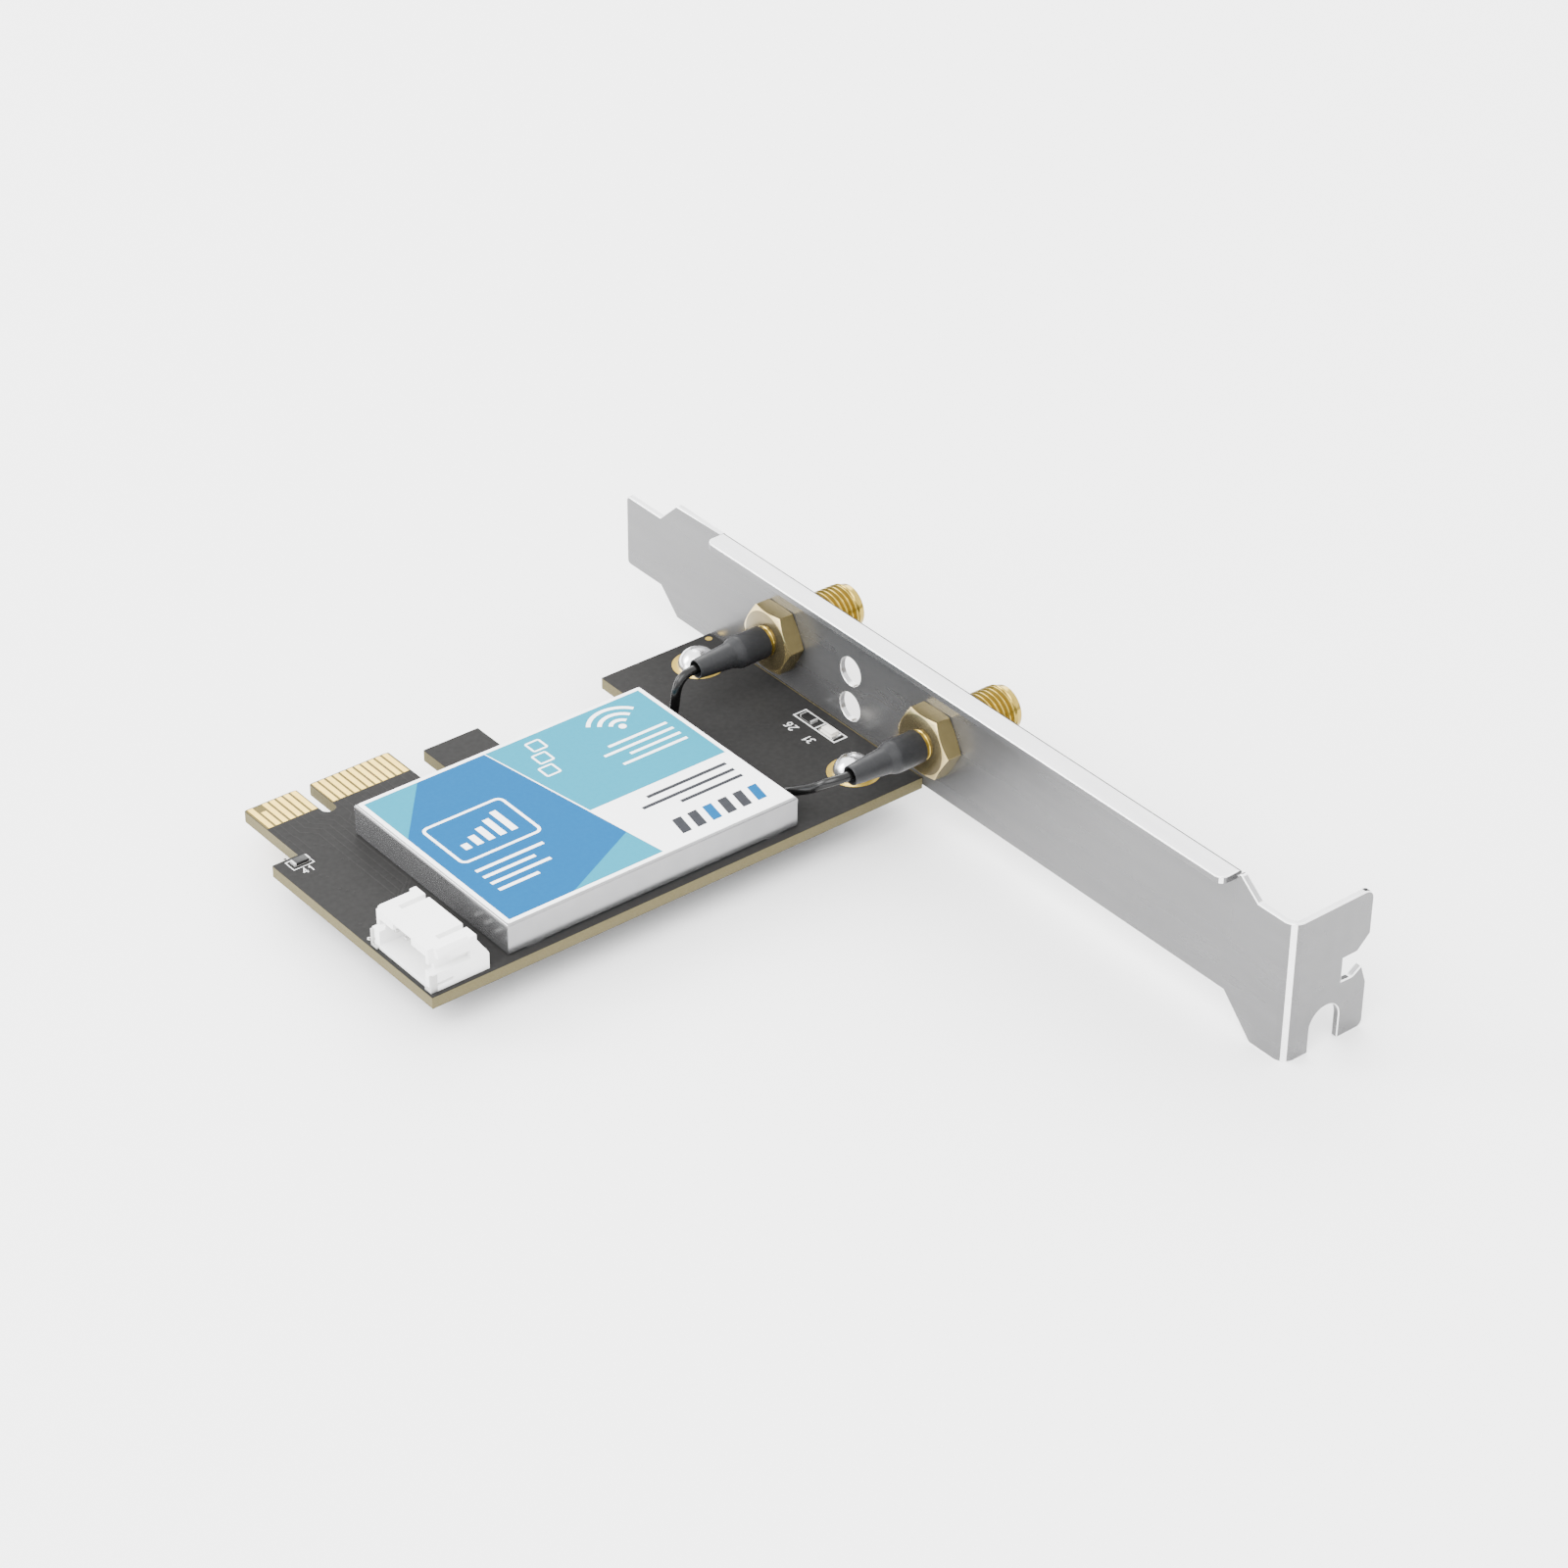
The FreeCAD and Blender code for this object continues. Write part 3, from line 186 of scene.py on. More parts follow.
def bracket_finishes():
    """Steel: the brushed plate; a brighter copy for up-facing faces that is painted light; a
    bright copy for rounded edges and the bend's corner that is a painted highlight; and a dark
    copy along the outer bend that is painted shade.
    """
    brushed = (1.0, 0.12, 1.0)
    return {
        "steel": tinted("bracket_steel", 0.68, 700, (0.139, 0.139, 0.141),
                        (0.151, 0.151, 0.153), 0.24, 0.30, stretch=brushed),
        # Brighter copy of the steel for up-facing faces: painted light.
        "steel_painted_light": tinted("bracket_steel_painted_light", 0.9, 700, (0.36, 0.36, 0.365),
                             (0.40, 0.40, 0.405), 0.24, 0.30, stretch=brushed),
        # Bright copy for rounded edges and the bend's corner: painted highlight.
        "steel_painted_highlight": tinted("bracket_steel_painted_highlight", 0.97, 700, (0.86, 0.86, 0.86),
                             (0.92, 0.92, 0.92), 0.22, 0.28),
        # Dark, nearly unreflecting copy of the steel for the outer bend: painted shade.
        "steel_painted_shade": tinted("bracket_steel_painted_shade", 0.7, 700, (0.055, 0.055, 0.056),
                             (0.065, 0.065, 0.066), 0.30, 0.36, Specular_IOR_Level=0.02,
                             Specular_Tint=(0.10, 0.10, 0.10, 1.0))}


def gold_finishes():
    """The jacks' plating: plain gold for the hexagon sides, a yellower gold for threads and turned
    parts, a bright copy on chamfers and corner flats that is a painted highlight, and a dark copy
    on the hexagons' back faces that is painted shade; and the board's brighter gold.
    """
    return {
        "jack_gold": tinted("jack_gold", 0.72, 700, (0.232, 0.186, 0.082),
                            (0.256, 0.206, 0.092), 0.20, 0.26),
        # Darker copy of the gold for the hexagons' back faces: painted shade.
        "gold_painted_shade": tinted("gold_painted_shade", 0.8, 700, (0.150, 0.122, 0.064),
                            (0.168, 0.136, 0.072), 0.20, 0.26),
        # Bright copy of the gold for chamfers and corner flats: painted highlight.
        "gold_painted_highlight": tinted("gold_painted_highlight", 0.9, 700, (0.56, 0.44, 0.20), (0.62, 0.49, 0.23),
                            0.20, 0.26),
        "thread_gold": tinted("thread_gold", 0.85, 700, (0.32, 0.228, 0.040),
                              (0.36, 0.258, 0.050), 0.15, 0.22),
        "gold": tinted("gold_plating", 0.9, 700, (0.50, 0.345, 0.062), (0.55, 0.385, 0.075),
                       0.24, 0.34)}


def plate_finishes():
    """The can's plate, the rivets, tinned leads and the nickel washers."""
    return {
        "can": tinted("can_plate", 0.85, 500, (0.27, 0.27, 0.275), (0.29, 0.29, 0.295),
                      0.24, 0.27),
        "rivet": tinted("rivet_metal", 1.0, 900, (0.78, 0.78, 0.79), (0.88, 0.88, 0.89),
                        0.16, 0.26, 0.1, 2 * BUMP_DEPTH),
        "tin": tinted("tin", 1.0, 900, (0.50, 0.50, 0.49), (0.60, 0.60, 0.59), 0.16, 0.3),
        "tab": tinted("tab_tin", 0.6, 900, (0.46, 0.46, 0.45), (0.54, 0.54, 0.53), 0.4, 0.5),
        "nickel": tinted("nickel", 1.0, 900, (0.32, 0.32, 0.32), (0.38, 0.38, 0.37),
                         0.18, 0.28)}


def moulded_finishes():
    """Plastics and ceramics."""
    return {
        "sleeve": tinted("sleeve_black", 0.0, 3500, (0.0125, 0.0128, 0.0138),
                         (0.0155, 0.0158, 0.0170), 0.36, 0.46, 0.12, Specular_IOR_Level=0.22),
        "cable": tinted("cable_black", 0.0, 2500, (0.002, 0.002, 0.002),
                        (0.003, 0.003, 0.003), 0.16, 0.26, 0.1, Specular_IOR_Level=0.3),
        "header": tinted("header_white", 0.0, 3000, (0.86, 0.86, 0.855), (0.89, 0.89, 0.885),
                         0.36, 0.46, 0.03),
        "insulator": tinted("insulator_white", 0.0, 3000, (0.80, 0.79, 0.76),
                            (0.86, 0.85, 0.82), 0.34, 0.44, 0.03),
        "chip": tinted("chip_black", 0.0, 7000, (0.006, 0.006, 0.006), (0.010, 0.010, 0.010),
                       0.40, 0.55, 0.1, Specular_IOR_Level=0.3),
        "ceramic": tinted("ceramic_white", 0.0, 6000, (0.56, 0.55, 0.52), (0.64, 0.63, 0.60),
                          0.35, 0.5, 0.06),
        "led": tinted("led_cream", 0.0, 3000, (0.76, 0.73, 0.66), (0.84, 0.81, 0.74),
                      0.22, 0.32, 0.03)}


def print_finishes():
    """The board's white print and the label's four inks."""
    finishes = {"silk": tinted(
        "print_white", 0.0, 6000, (0.62, 0.62, 0.61), (0.72, 0.72, 0.71), 0.45, 0.6, 0.1,
        Specular_IOR_Level=0.1)}
    for name, dark, light in (
            ("label_white", (0.92, 0.93, 0.935), (0.95, 0.955, 0.96)),
            ("label_blue", (0.0006, 0.075, 0.202), (0.0009, 0.080, 0.211)),
            ("label_cyan", (0.0050, 0.200, 0.290), (0.0070, 0.210, 0.300)),
            ("label_grey", (0.026, 0.027, 0.031), (0.031, 0.032, 0.037))):
        finishes[name] = tinted(name, 0.0, 1800, dark, light, 0.34, 0.42,
                                Specular_IOR_Level=0.01)
    return finishes


def board_finishes():
    """Solder mask, the slightly paler mask over copper, and the laminate."""
    return {
        "mask": board_mask("board_mask", 1.0),
        "mask_trace": board_mask("board_trace", 1.22),
        "laminate": board_edge(),
        "laminate_bare": tinted("laminate_bare", 0.0, 1500, (0.062, 0.050, 0.022),
                                (0.078, 0.064, 0.030), 0.5, 0.6, Specular_IOR_Level=0.1)}


def board_mask(name, lift):
    """Matt black solder mask on the faces, bare laminate between the edge contacts."""
    paint = Paint(name, Specular_IOR_Level=0.008)
    dark, light = (tuple(level * lift * part for part in (1.0, 0.985, 0.97))
                   for level in (0.0212, 0.0248))
    mask = paint.ramp(paint.noise(1500), (NOISE_LOW, dark), (NOISE_HIGH, light))
    weave = paint.noise(3000, 2.0)
    bare = paint.ramp(weave, (NOISE_LOW, (0.100, 0.080, 0.032)),
                      (NOISE_HIGH, (0.122, 0.098, 0.042)))
    past_mask = paint.math("GREATER_THAN", paint.axis("Y"), at(0, MASK_END, 0).y)
    in_tongue = paint.math("LESS_THAN", paint.axis("X"), at(TONGUE_SIDE, 0, 0).x)
    opening = paint.math("MULTIPLY", past_mask, in_tongue)
    paint.colour(paint.mix(opening, mask, bare))
    paint.rough(paint.span(paint.noise(2200), 0.33, 0.41))
    paint.bump(paint.noise(6000), 0.06)
    return paint.material


def board_edge():
    """Sawn glass laminate: speckled tan, with the mask's dark line along both faces."""
    paint = Paint("board_edge", Specular_IOR_Level=0.2)
    grain = paint.noise(14000, 4.0, 0.7, (1.0, 1.0, 2.2))
    body = paint.ramp(grain, (0.30, (0.058, 0.048, 0.020)), (0.5, (0.108, 0.093, 0.044)),
                      (0.72, (0.154, 0.134, 0.070)))
    level = paint.axis("Z")
    top_line = paint.math("GREATER_THAN", level, at(0, 0, -0.075).z)
    low_line = paint.math("LESS_THAN", level, at(0, 0, 0.065 - BOARD_THICK).z)
    line = paint.math("MAXIMUM", top_line, low_line)
    paint.colour(paint.mix(line, body, (0.014, 0.012, 0.009, 1.0)))
    paint.rough(paint.span(paint.noise(5000), 0.62, 0.8))
    paint.bump(grain, 0.15)
    return paint.material


# Every finish of the card, by name
FINISHES = {**bracket_finishes(), **gold_finishes(), **plate_finishes(), **moulded_finishes(),
            **print_finishes(), **board_finishes()}


# Mesh helpers

ROUND_STEPS = 96
DOME_STEPS = 72


def link(thing):
    """Puts an object into the scene."""
    bpy.context.scene.collection.objects.link(thing)
    return thing


def from_bmesh(bm, name):
    """The mesh of what was drawn."""
    mesh = bpy.data.meshes.new(name)
    bm.to_mesh(mesh)
    bm.free()
    return mesh


def outward(bm):
    """What was drawn, with all its faces turned outward."""
    bmesh.ops.recalc_face_normals(bm, faces=bm.faces)
    return bm


def finished(name, bm, finishes, nodes=(), smooth=35.0):
    """A piece of the card from what was drawn in metres, riding on the root body."""
    mesh = from_bmesh(bm, name)
    for finish in finishes:
        mesh.materials.append(FINISHES[finish])
    mesh.validate()
    mesh.shade_smooth()
    mesh.set_sharp_from_angle(angle=math.radians(smooth))
    piece = link(bpy.data.objects.new(name, mesh))
    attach(piece, "root")
    if nodes:
        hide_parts(*nodes)
    return piece


def bevelled(piece, width, segments=2, angle=30.0):
    """Rounds the sharp edges a little, in millimetres."""
    cut = piece.modifiers.new("edge_rounding", "BEVEL")
    cut.width = width / 1000
    cut.segments = segments
    cut.limit_method = "ANGLE"
    cut.angle_limit = math.radians(angle)
    cut.harden_normals = True
    cut.use_clamp_overlap = True
    return piece


def cad_mesh(node):
    """A welded copy of a CAD node's mesh with its flat faces joined up."""
    bm = bmesh.new()
    bm.from_mesh(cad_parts[node].data)
    bmesh.ops.remove_doubles(bm, verts=bm.verts, dist=1e-6)
    bmesh.ops.dissolve_limit(bm, angle_limit=math.radians(0.6), verts=bm.verts, edges=bm.edges)
    return bm


def cad_copy(node, name, finish, width, segments=2):
    """A piece in a CAD node's place with its shape, its edges rounded."""
    bevelled(finished(name, cad_mesh(node), [finish], [node]), width, segments)


def add_block(bm, low, high, width, paint=0):
    """A block with rounded edges from corner low to corner high, in card millimetres."""
    start, end = at(*low), at(*high)
    size = end - start
    grown = bmesh.ops.create_cube(bm, size=1.0, matrix=Matrix.Translation((start + end) / 2)
                                  @ Matrix.Diagonal((*size, 1.0)))
    edges = list({edge for vert in grown["verts"] for edge in vert.link_edges})
    faces = list({face for vert in grown["verts"] for face in vert.link_faces})
    for face in faces:
        face.material_index = paint
    done = bmesh.ops.bevel(bm, geom=edges, offset=width / 1000, segments=2, profile=0.5,
                           affect="EDGES", material=-1)
    for face in done["faces"]:
        face.material_index = paint


def add_rings(bm, rings, closed=True, paint=0, caps=(False, False)):
    """Joins rings of places by quads; caps closes the first and the last ring."""
    rows = [[bm.verts.new(place) for place in ring] for ring in rings]
    count = len(rows[0])
    last = count if closed else count - 1
    for before, after in zip(rows, rows[1:]):
        for i in range(last):
            j = (i + 1) % count
            face = bm.faces.new((before[i], before[j], after[j], after[i]))
            face.material_index = paint
    for wanted, row in zip(caps, (rows[0][::-1], rows[-1])):
        if wanted:
            face = bm.faces.new(row)
            face.material_index = paint


def circle(radius, steps):
    """Offsets round a circle; radius is a length or a function of the angle."""
    offsets = []
    for i in range(steps):
        angle = 2 * math.pi * i / steps
        reach = radius(angle) if callable(radius) else radius
        offsets.append((reach * math.cos(angle), reach * math.sin(angle)))
    return offsets


def ring_along_x(x, y, z, radius):
    """Places round an axis along X."""
    return [at(x, y + u, z + v) for u, v in circle(radius, ROUND_STEPS)]


def ring_along_z(x, y, z, radius):
    """Places round an upright axis."""
    return [at(x + u, y + v, z) for u, v in circle(radius, DOME_STEPS)]


def hex_reach(flats, angle):
    """How far a hexagon with two level flats reaches from its middle at an angle."""
    turn = math.pi / 3
    off = angle % turn - turn / 2
    return flats / 2 / math.cos(off)


def rounded_profile(corners, steps):
    """Points of an open outline; a corner given as (u, v, radius) is rounded."""
    points = []
    for i, corner in enumerate(corners):
        here = Vector(corner[:2])
        if len(corner) == 2 or i in (0, len(corners) - 1):
            points.append(here)
            continue
        back = (Vector(corners[i - 1][:2]) - here).normalized()
        ahead = (Vector(corners[i + 1][:2]) - here).normalized()
        half = back.angle(ahead) / 2
        run = corner[2] / math.tan(half)
        first = here + back * run
        final = here + ahead * run
        for step in range(steps + 1):
            t = step / steps
            points.append(first * (1 - t) ** 2 + here * 2 * t * (1 - t) + final * t ** 2)
    return points


# Stage

def make_camera():
    """The photograph's viewpoint: tilted down, hardly rolled, and turned towards the jacks."""
    place = (-0.247652, -0.316243, 0.288105)
    turns = (56.0711, -0.3011, -38.6145)
    data = bpy.data.cameras.new("camera")
    data.sensor_fit = "HORIZONTAL"
    data.sensor_width = 36.0
    data.lens = 98.007
    data.clip_start = 0.02
    data.clip_end = 20.0
    camera = link(bpy.data.objects.new("camera", data))
    turned = Euler([math.radians(turn) for turn in turns]).to_matrix().to_4x4()
    camera.matrix_world = Matrix.Translation(place) @ turned
    bpy.context.scene.camera = camera


def add_light(name, place, aim, size, power):
    """A square softbox; place, aim and side in metres, power in watts."""
    data = bpy.data.lights.new(name, "AREA")
    data.shape = "SQUARE"
    data.size = size
    data.energy = power
    light = link(bpy.data.objects.new(name, data))
    light.location = place
    light.rotation_euler = (Vector(aim) - Vector(place)).to_track_quat("-Z", "Y").to_euler()


def make_surroundings():
    """A white studio that is brighter above than near the floor."""
    world = bpy.data.worlds.new("studio")
    world.use_nodes = True
    tree = world.node_tree
    back = tree.nodes["Background"]
    back.inputs["Color"].default_value = (1.0, 1.0, 1.0, 1.0)
    height = tree.nodes.new("ShaderNodeSeparateXYZ")
    rise = tree.nodes.new("ShaderNodeMapRange")
    rise.interpolation_type = "SMOOTHSTEP"
    for key, value in (("From Min", 0.06), ("From Max", 0.30), ("To Min", 0.9), ("To Max", 3.6)):
        rise.inputs[key].default_value = value
    tree.links.new(tree.nodes.new("ShaderNodeTexCoord").outputs["Generated"], height.inputs[0])
    tree.links.new(height.outputs["Z"], rise.inputs["Value"])
    tree.links.new(rise.outputs["Result"], back.inputs["Strength"])
    bpy.context.scene.world = world


def make_floor():
    """A plain pale floor."""
    bm = bmesh.new()
    bmesh.ops.create_grid(bm, x_segments=4, y_segments=4, size=6.0)
    mesh = from_bmesh(bm, "floor")
    paint = Paint("floor_white", Roughness=0.8, Specular_IOR_Level=0.1)
    paint.colour(paint.ramp(paint.noise(3.0), (NOISE_LOW, (0.93, 0.93, 0.93)),
                            (NOISE_HIGH, (0.94, 0.94, 0.94))))
    mesh.materials.append(paint.material)
    floor = link(bpy.data.objects.new("floor", mesh))


def make_lights():
    """Soft lights above and beside the card."""
    add_light("softbox", (0.72, 0.90, 0.78), (0, 0, 0), 0.95, 17.0)
    add_light("side", (-0.86, 1.0, 0.8), (0, 0, 0), 0.6, 18.0)
    add_light("fill", (-0.80, -0.30, 1.10), (0, 0, 0), 1.0, 26.0)
    add_light("low", (-1.3, 0.42, 0.28), (0, 0, 0.02), 0.5, 7.0)


# The card

# Bend radius of the CAD sheet and depth of its relief cut under that, then the outer bend's two
# half-axes and the cut's depth here, all in metres
BEND_RADIUS = 0.00106
CUT_FLOOR = 0.00034
BEND_REACH = 0.00034
BEND_DROP = 0.00026
CUT_DEPTH = 0.00004
HAIR = 2e-6
CLOSE = 5e-6


def tighten_bend(bm, face_x, top):
    """Makes the outer bend a tight ellipse and the relief cut shallow; returns the cut's y."""
    cut = []
    for vert in bm.verts:
        out = vert.co.x - face_x + BEND_RADIUS
        up = vert.co.z - top + BEND_RADIUS
        if min(out, up) > -HAIR and abs(math.hypot(out, up) - BEND_RADIUS) < CLOSE:
            vert.co.x = face_x - BEND_REACH + out * BEND_REACH / BEND_RADIUS
            vert.co.z = top - BEND_DROP + up * BEND_DROP / BEND_RADIUS
        elif abs(up + CUT_FLOOR) < CLOSE and out > -HAIR:
            vert.co.z = top - BEND_DROP - CUT_DEPTH
            cut.append(vert.co.y)
    return sum(cut) / len(cut)


def weigh_edges(bm, face_x, top, bend_ends):
    """Gives weight to the edges to be rolled: not those under the folds or at the bend's ends."""
    weight = bm.edges.layers.float.new("bevel_weight_edge")
    past_bend, beside, sharpness = 0.0011, 0.0004, 0.5
    for edge in bm.edges:
        under = all(vert.co.x < face_x - 0.001 and abs(vert.co.z - top + SHEET / 1000) < CLOSE
                    for vert in edge.verts)
        at_end = any(all(abs(vert.co.y - end) < beside and vert.co.z > top - past_bend
                         and vert.co.x > face_x - past_bend for vert in edge.verts)
                     for end in bend_ends)
        sharp = len(edge.link_faces) == 2 and edge.calc_face_angle() > sharpness
        edge[weight] = 1.0 if sharp and not under and not at_end else 0.0


def make_bracket():
    """The folded sheet: painted shade makes its outer bend a dark line, painted highlights make
    its rounded edges and the bend's corner bright, and its up-facing faces take painted light.
    """
    painted_light, bend, painted_highlight = 1, 2, 3
    bm = cad_mesh("bracket")
    face_x = at(SHEET, 0.0, 0.0).x
    top = max(vert.co.z for vert in bm.verts)
    cut_y = tighten_bend(bm, face_x, top)
    weigh_edges(bm, face_x, top, (cut_y, at(0.0, FLANGE_START, 0.0).y))
    bm.normal_update()
    for face in bm.faces:
        normal = face.normal
        outside = all(vert.co.x > face_x - BEND_REACH - HAIR for vert in face.verts)
        # Outer bend faces take the dark steel (painted shade), up-facing faces the brighter steel
        # (painted light), and the bend's corner the bright steel (painted highlight).
        if outside and normal.x > 0.01 and normal.z > 0.05:
            face.material_index = bend
        elif normal.z > 0.6:
            face.material_index = painted_light
        elif normal.x < -0.56 and normal.y < -0.56:
            face.material_index = painted_highlight
    piece = finished("bracket_sheet", bm, ["steel", "steel_painted_light", "steel_painted_shade", "steel_painted_highlight"],
                     ["bracket"])
    rounding = bevelled(piece, 0.12, 3).modifiers[0]
    rounding.limit_method = "WEIGHT"
    # The rounded bevel faces take the bright steel: painted highlight.
    rounding.material = painted_highlight
    rounding.use_clamp_overlap = False


def make_board():
    """The board: masked faces and sawn edges."""
    bm = cad_mesh("circuit_board")
    for face in bm.faces:
        face.material_index = 0 if abs(face.normal.z) > 0.95 else 1
    piece = finished("board", bm, ["mask", "laminate"], ["circuit_board"])
    bevelled(piece, 0.035, 1)


def make_contacts():
    """The gold edge contacts of both faces and the ring pads under the rivets."""
    copper = [(f"edge_contacts_{side}", f"contacts_{side}") for side in ("front", "back")]
    copper += [(f"rivet_pad_{side}", f"pad_{side}") for side in ("near", "far")]
    for node, name in copper:
        cad_copy(node, name, "gold", 0.012, 1)


def dome_rows(x, y, seat, half, rise, wobble):
    """Rings of a pressed rivet head, a little uneven from the press."""
    radius = (half ** 2 + rise ** 2) / (2 * rise)
    rim = math.asin(half / radius)
    rows = [ring_along_z(x, y, seat, half)]
    steps = 26
    dents = 0.034
    for i in range(1, steps):
        angle = rim * (1 - i / steps)
        level = seat + rise - radius + radius * math.cos(angle)
        reach = radius * math.sin(angle)

        def uneven(turn):
            ripple = (math.sin(5 * turn + wobble + 2.1 * level)
                      + 0.6 * math.sin(9 * turn - 2 * wobble - 3.7 * level)
                      + 0.5 * math.sin(3 * turn + 5.1 * level))
            return reach + dents * ripple * min(1.0, reach / 0.8) * (i / steps)

        rows.append(ring_along_z(x, y, level, uneven))
    return rows


def make_rivets():
    """Two rivets: pressed dome on the ring pad, shank, and closed head under the bracket's ear."""
    x = -5.78
    seat = 0.04
    shank = 1.5
    foot = -BOARD_THICK - SHEET
    closed_head = ((foot - 0.9, 1.7), (foot - 0.84, 2.02), (foot - 0.68, 2.2), (foot, 2.2),
                   (foot, shank), (seat, shank))
    for side, y, wobble in (("near", 5.95, 0.4), ("far", 36.2, 2.2)):
        bm = bmesh.new()
        rows = [ring_along_z(x, y, level, reach) for level, reach in closed_head]
        rows += dome_rows(x, y, seat, 2.64, 2.27, wobble)
        add_rings(bm, rows, caps=(True, True))
        finished(f"rivet_head_{side}", outward(bm), ["rivet"],
                 [f"rivet_{side}"])


# Angles round a hexagon, closer together towards its corners
HEX_TURNS = [math.radians(60 * side + 30 + off) for side in range(6) for off in (
    -29.2, -28, -25, -21, -17, -13, -9, -4.5, 0, 4.5, 9, 13, 17, 21, 25, 28, 29.2)]

# Finishes of the jacks and nuts, two of them copies of the gold with a painted highlight and
# painted shade, and the places in that list
JACK_FINISHES = ("jack_gold", "gold_painted_highlight", "thread_gold", "gold_painted_shade")
PAINTED_HIGHLIGHT, THREAD, PAINTED_SHADE = 1, 2, 3


def add_hexagon(bm, y, back, front, flats, chamfers, bore, slopes=(0.55, 0.55)):
    """A bored hexagon from x back to front, with its corners turned off at both ends."""
    whole = [hex_reach(flats, turn) for turn in HEX_TURNS]
    rings = []
    for face, sign, cut, slope in ((back, 1, chamfers[0], slopes[0]),
                                   (front, -1, chamfers[1], slopes[1])):
        turned_reach = flats / 2 * cut
        inside, flat, outer = [], [], []
        for turn, reach in zip(HEX_TURNS, whole):
            inner = min(reach, turned_reach)
            drop = max(0.0, reach - turned_reach) * slope
            for places, r, x in ((inside, bore, face), (flat, inner, face),
                                 (outer, reach, face + sign * drop)):
                places.append(at(x, y + r * math.cos(turn), JACK_LEVEL + r * math.sin(turn)))
        rings.append((inside, flat, outer))
    (in_a, flat_a, out_a), (in_b, flat_b, out_b) = rings
    start = len(bm.faces)
    add_rings(bm, [in_a, flat_a, out_a, out_b, flat_b, in_b, in_a])
    bm.faces.ensure_lookup_table()
    count = len(HEX_TURNS)
    for i in range(count):
        # The back face takes the darker gold: painted shade.
        bm.faces[start + i].material_index = PAINTED_SHADE
        # The chamfers and the corner flats take the bright gold: painted highlight.
        for row in (1, 3):
            bm.faces[start + row * count + i].material_index = PAINTED_HIGHLIGHT
        if (i + 1) % (count // 6) == 0:
            bm.faces[start + 2 * count + i].material_index = PAINTED_HIGHLIGHT


def clamped(value, low=0.0, high=1.0):
    """The value, kept between low and high."""
    return min(high, max(low, value))


def add_thread(bm, y, start, end):
    """The barrel's thread as strips that follow the helix, cut off level at both ends."""
    rows = 12
    fade_in = 0.5
    lead_out = 0.28
    depths = []
    for row in range(rows):
        height = abs(2 * row / rows - 1)
        depths.append(THREAD_DEPTH * (1 - clamped((height - 0.12) / 0.70)))
    first = math.floor((start / THREAD_PITCH - 1) * rows)
    final = math.ceil(end / THREAD_PITCH * rows)
    rings = []
    for row in range(first, final + 1):
        ring = []
        for i in range(ROUND_STEPS + 1):
            angle = 2 * math.pi * i / ROUND_STEPS
            x = (row / rows + i / ROUND_STEPS) * THREAD_PITCH
            reach = THREAD_CREST - depths[row % rows] * clamped((x - start) / fade_in)
            reach -= max(0.0, min(x, end) - (end - lead_out))
            ring.append(at(clamped(x, start, end), y + reach * math.cos(angle),
                           JACK_LEVEL + reach * math.sin(angle)))
        rings.append(ring)
    add_rings(bm, rings, closed=False, paint=THREAD)


def add_turned(bm, y, outline, capped=False):
    """A turned surface through (x, radius) places; capped closes its last end."""
    rings = [ring_along_x(x, y, JACK_LEVEL, radius) for x, radius in outline]
    add_rings(bm, rings, paint=THREAD, caps=(False, capped))


def make_jacks():
    """Bulkhead jacks: chamfered hexagon, threaded barrel, socket, collar and crimp."""
    start = 1.0
    end = 10.16
    floor = 3.2
    neck = ((-0.3, 2.6), (-0.3, 3.125), (start, THREAD_CREST))
    socket = ((end, 2.88), (end, 2.55), (end + 0.01, 2.55), (end + 0.04, 2.84), (10.74, 2.84),
              (10.85, 2.8), (10.9, 2.72), (10.9, 2.42), (10.8, 2.3), (floor, 2.3), (floor, 0.62))
    collar = ((-2.2, 1.92), (-2.52, 1.92), (-2.6, 1.84), (-2.95, 1.84), (-3.0, 1.78),
              (-3.0, 1.65), (-6.45, 1.65), (-6.5, 1.6), (-6.5, 0.55))
    for number, y in JACKS:
        bm = bmesh.new()
        add_hexagon(bm, y, -2.48, -0.01, 8.0, (0.96, 0.965), 1.7, (0.5, 0.2))
        add_turned(bm, y, neck)
        add_thread(bm, y, start, end)
        add_turned(bm, y, socket, capped=True)
        add_turned(bm, y, collar, capped=True)
        bmesh.ops.remove_doubles(bm, verts=bm.verts, dist=2e-7)
        finished(f"jack_{number}", outward(bm), JACK_FINISHES,
                 [f"antenna_jack_{number}"], 28.0)
        cad_copy(f"jack_insulator_{number}", f"insulator_{number}", "insulator",
                 0.08)
        cad_copy(f"jack_contact_{number}", f"contact_{number}", "gold", 0.12)


def make_nuts():
    """A lock washer and a hexagon nut on each barrel."""
    for number, y in JACKS:
        bm = bmesh.new()
        add_hexagon(bm, y, 1.36, 3.31, 7.9, (0.975, 0.95), 3.1)
        finished(f"nut_{number}", outward(bm), JACK_FINISHES,
                 [f"hex_nut_{number}"], 28.0)
        cad_copy(f"lock_washer_{number}", f"washer_{number}", "nickel", 0.05)


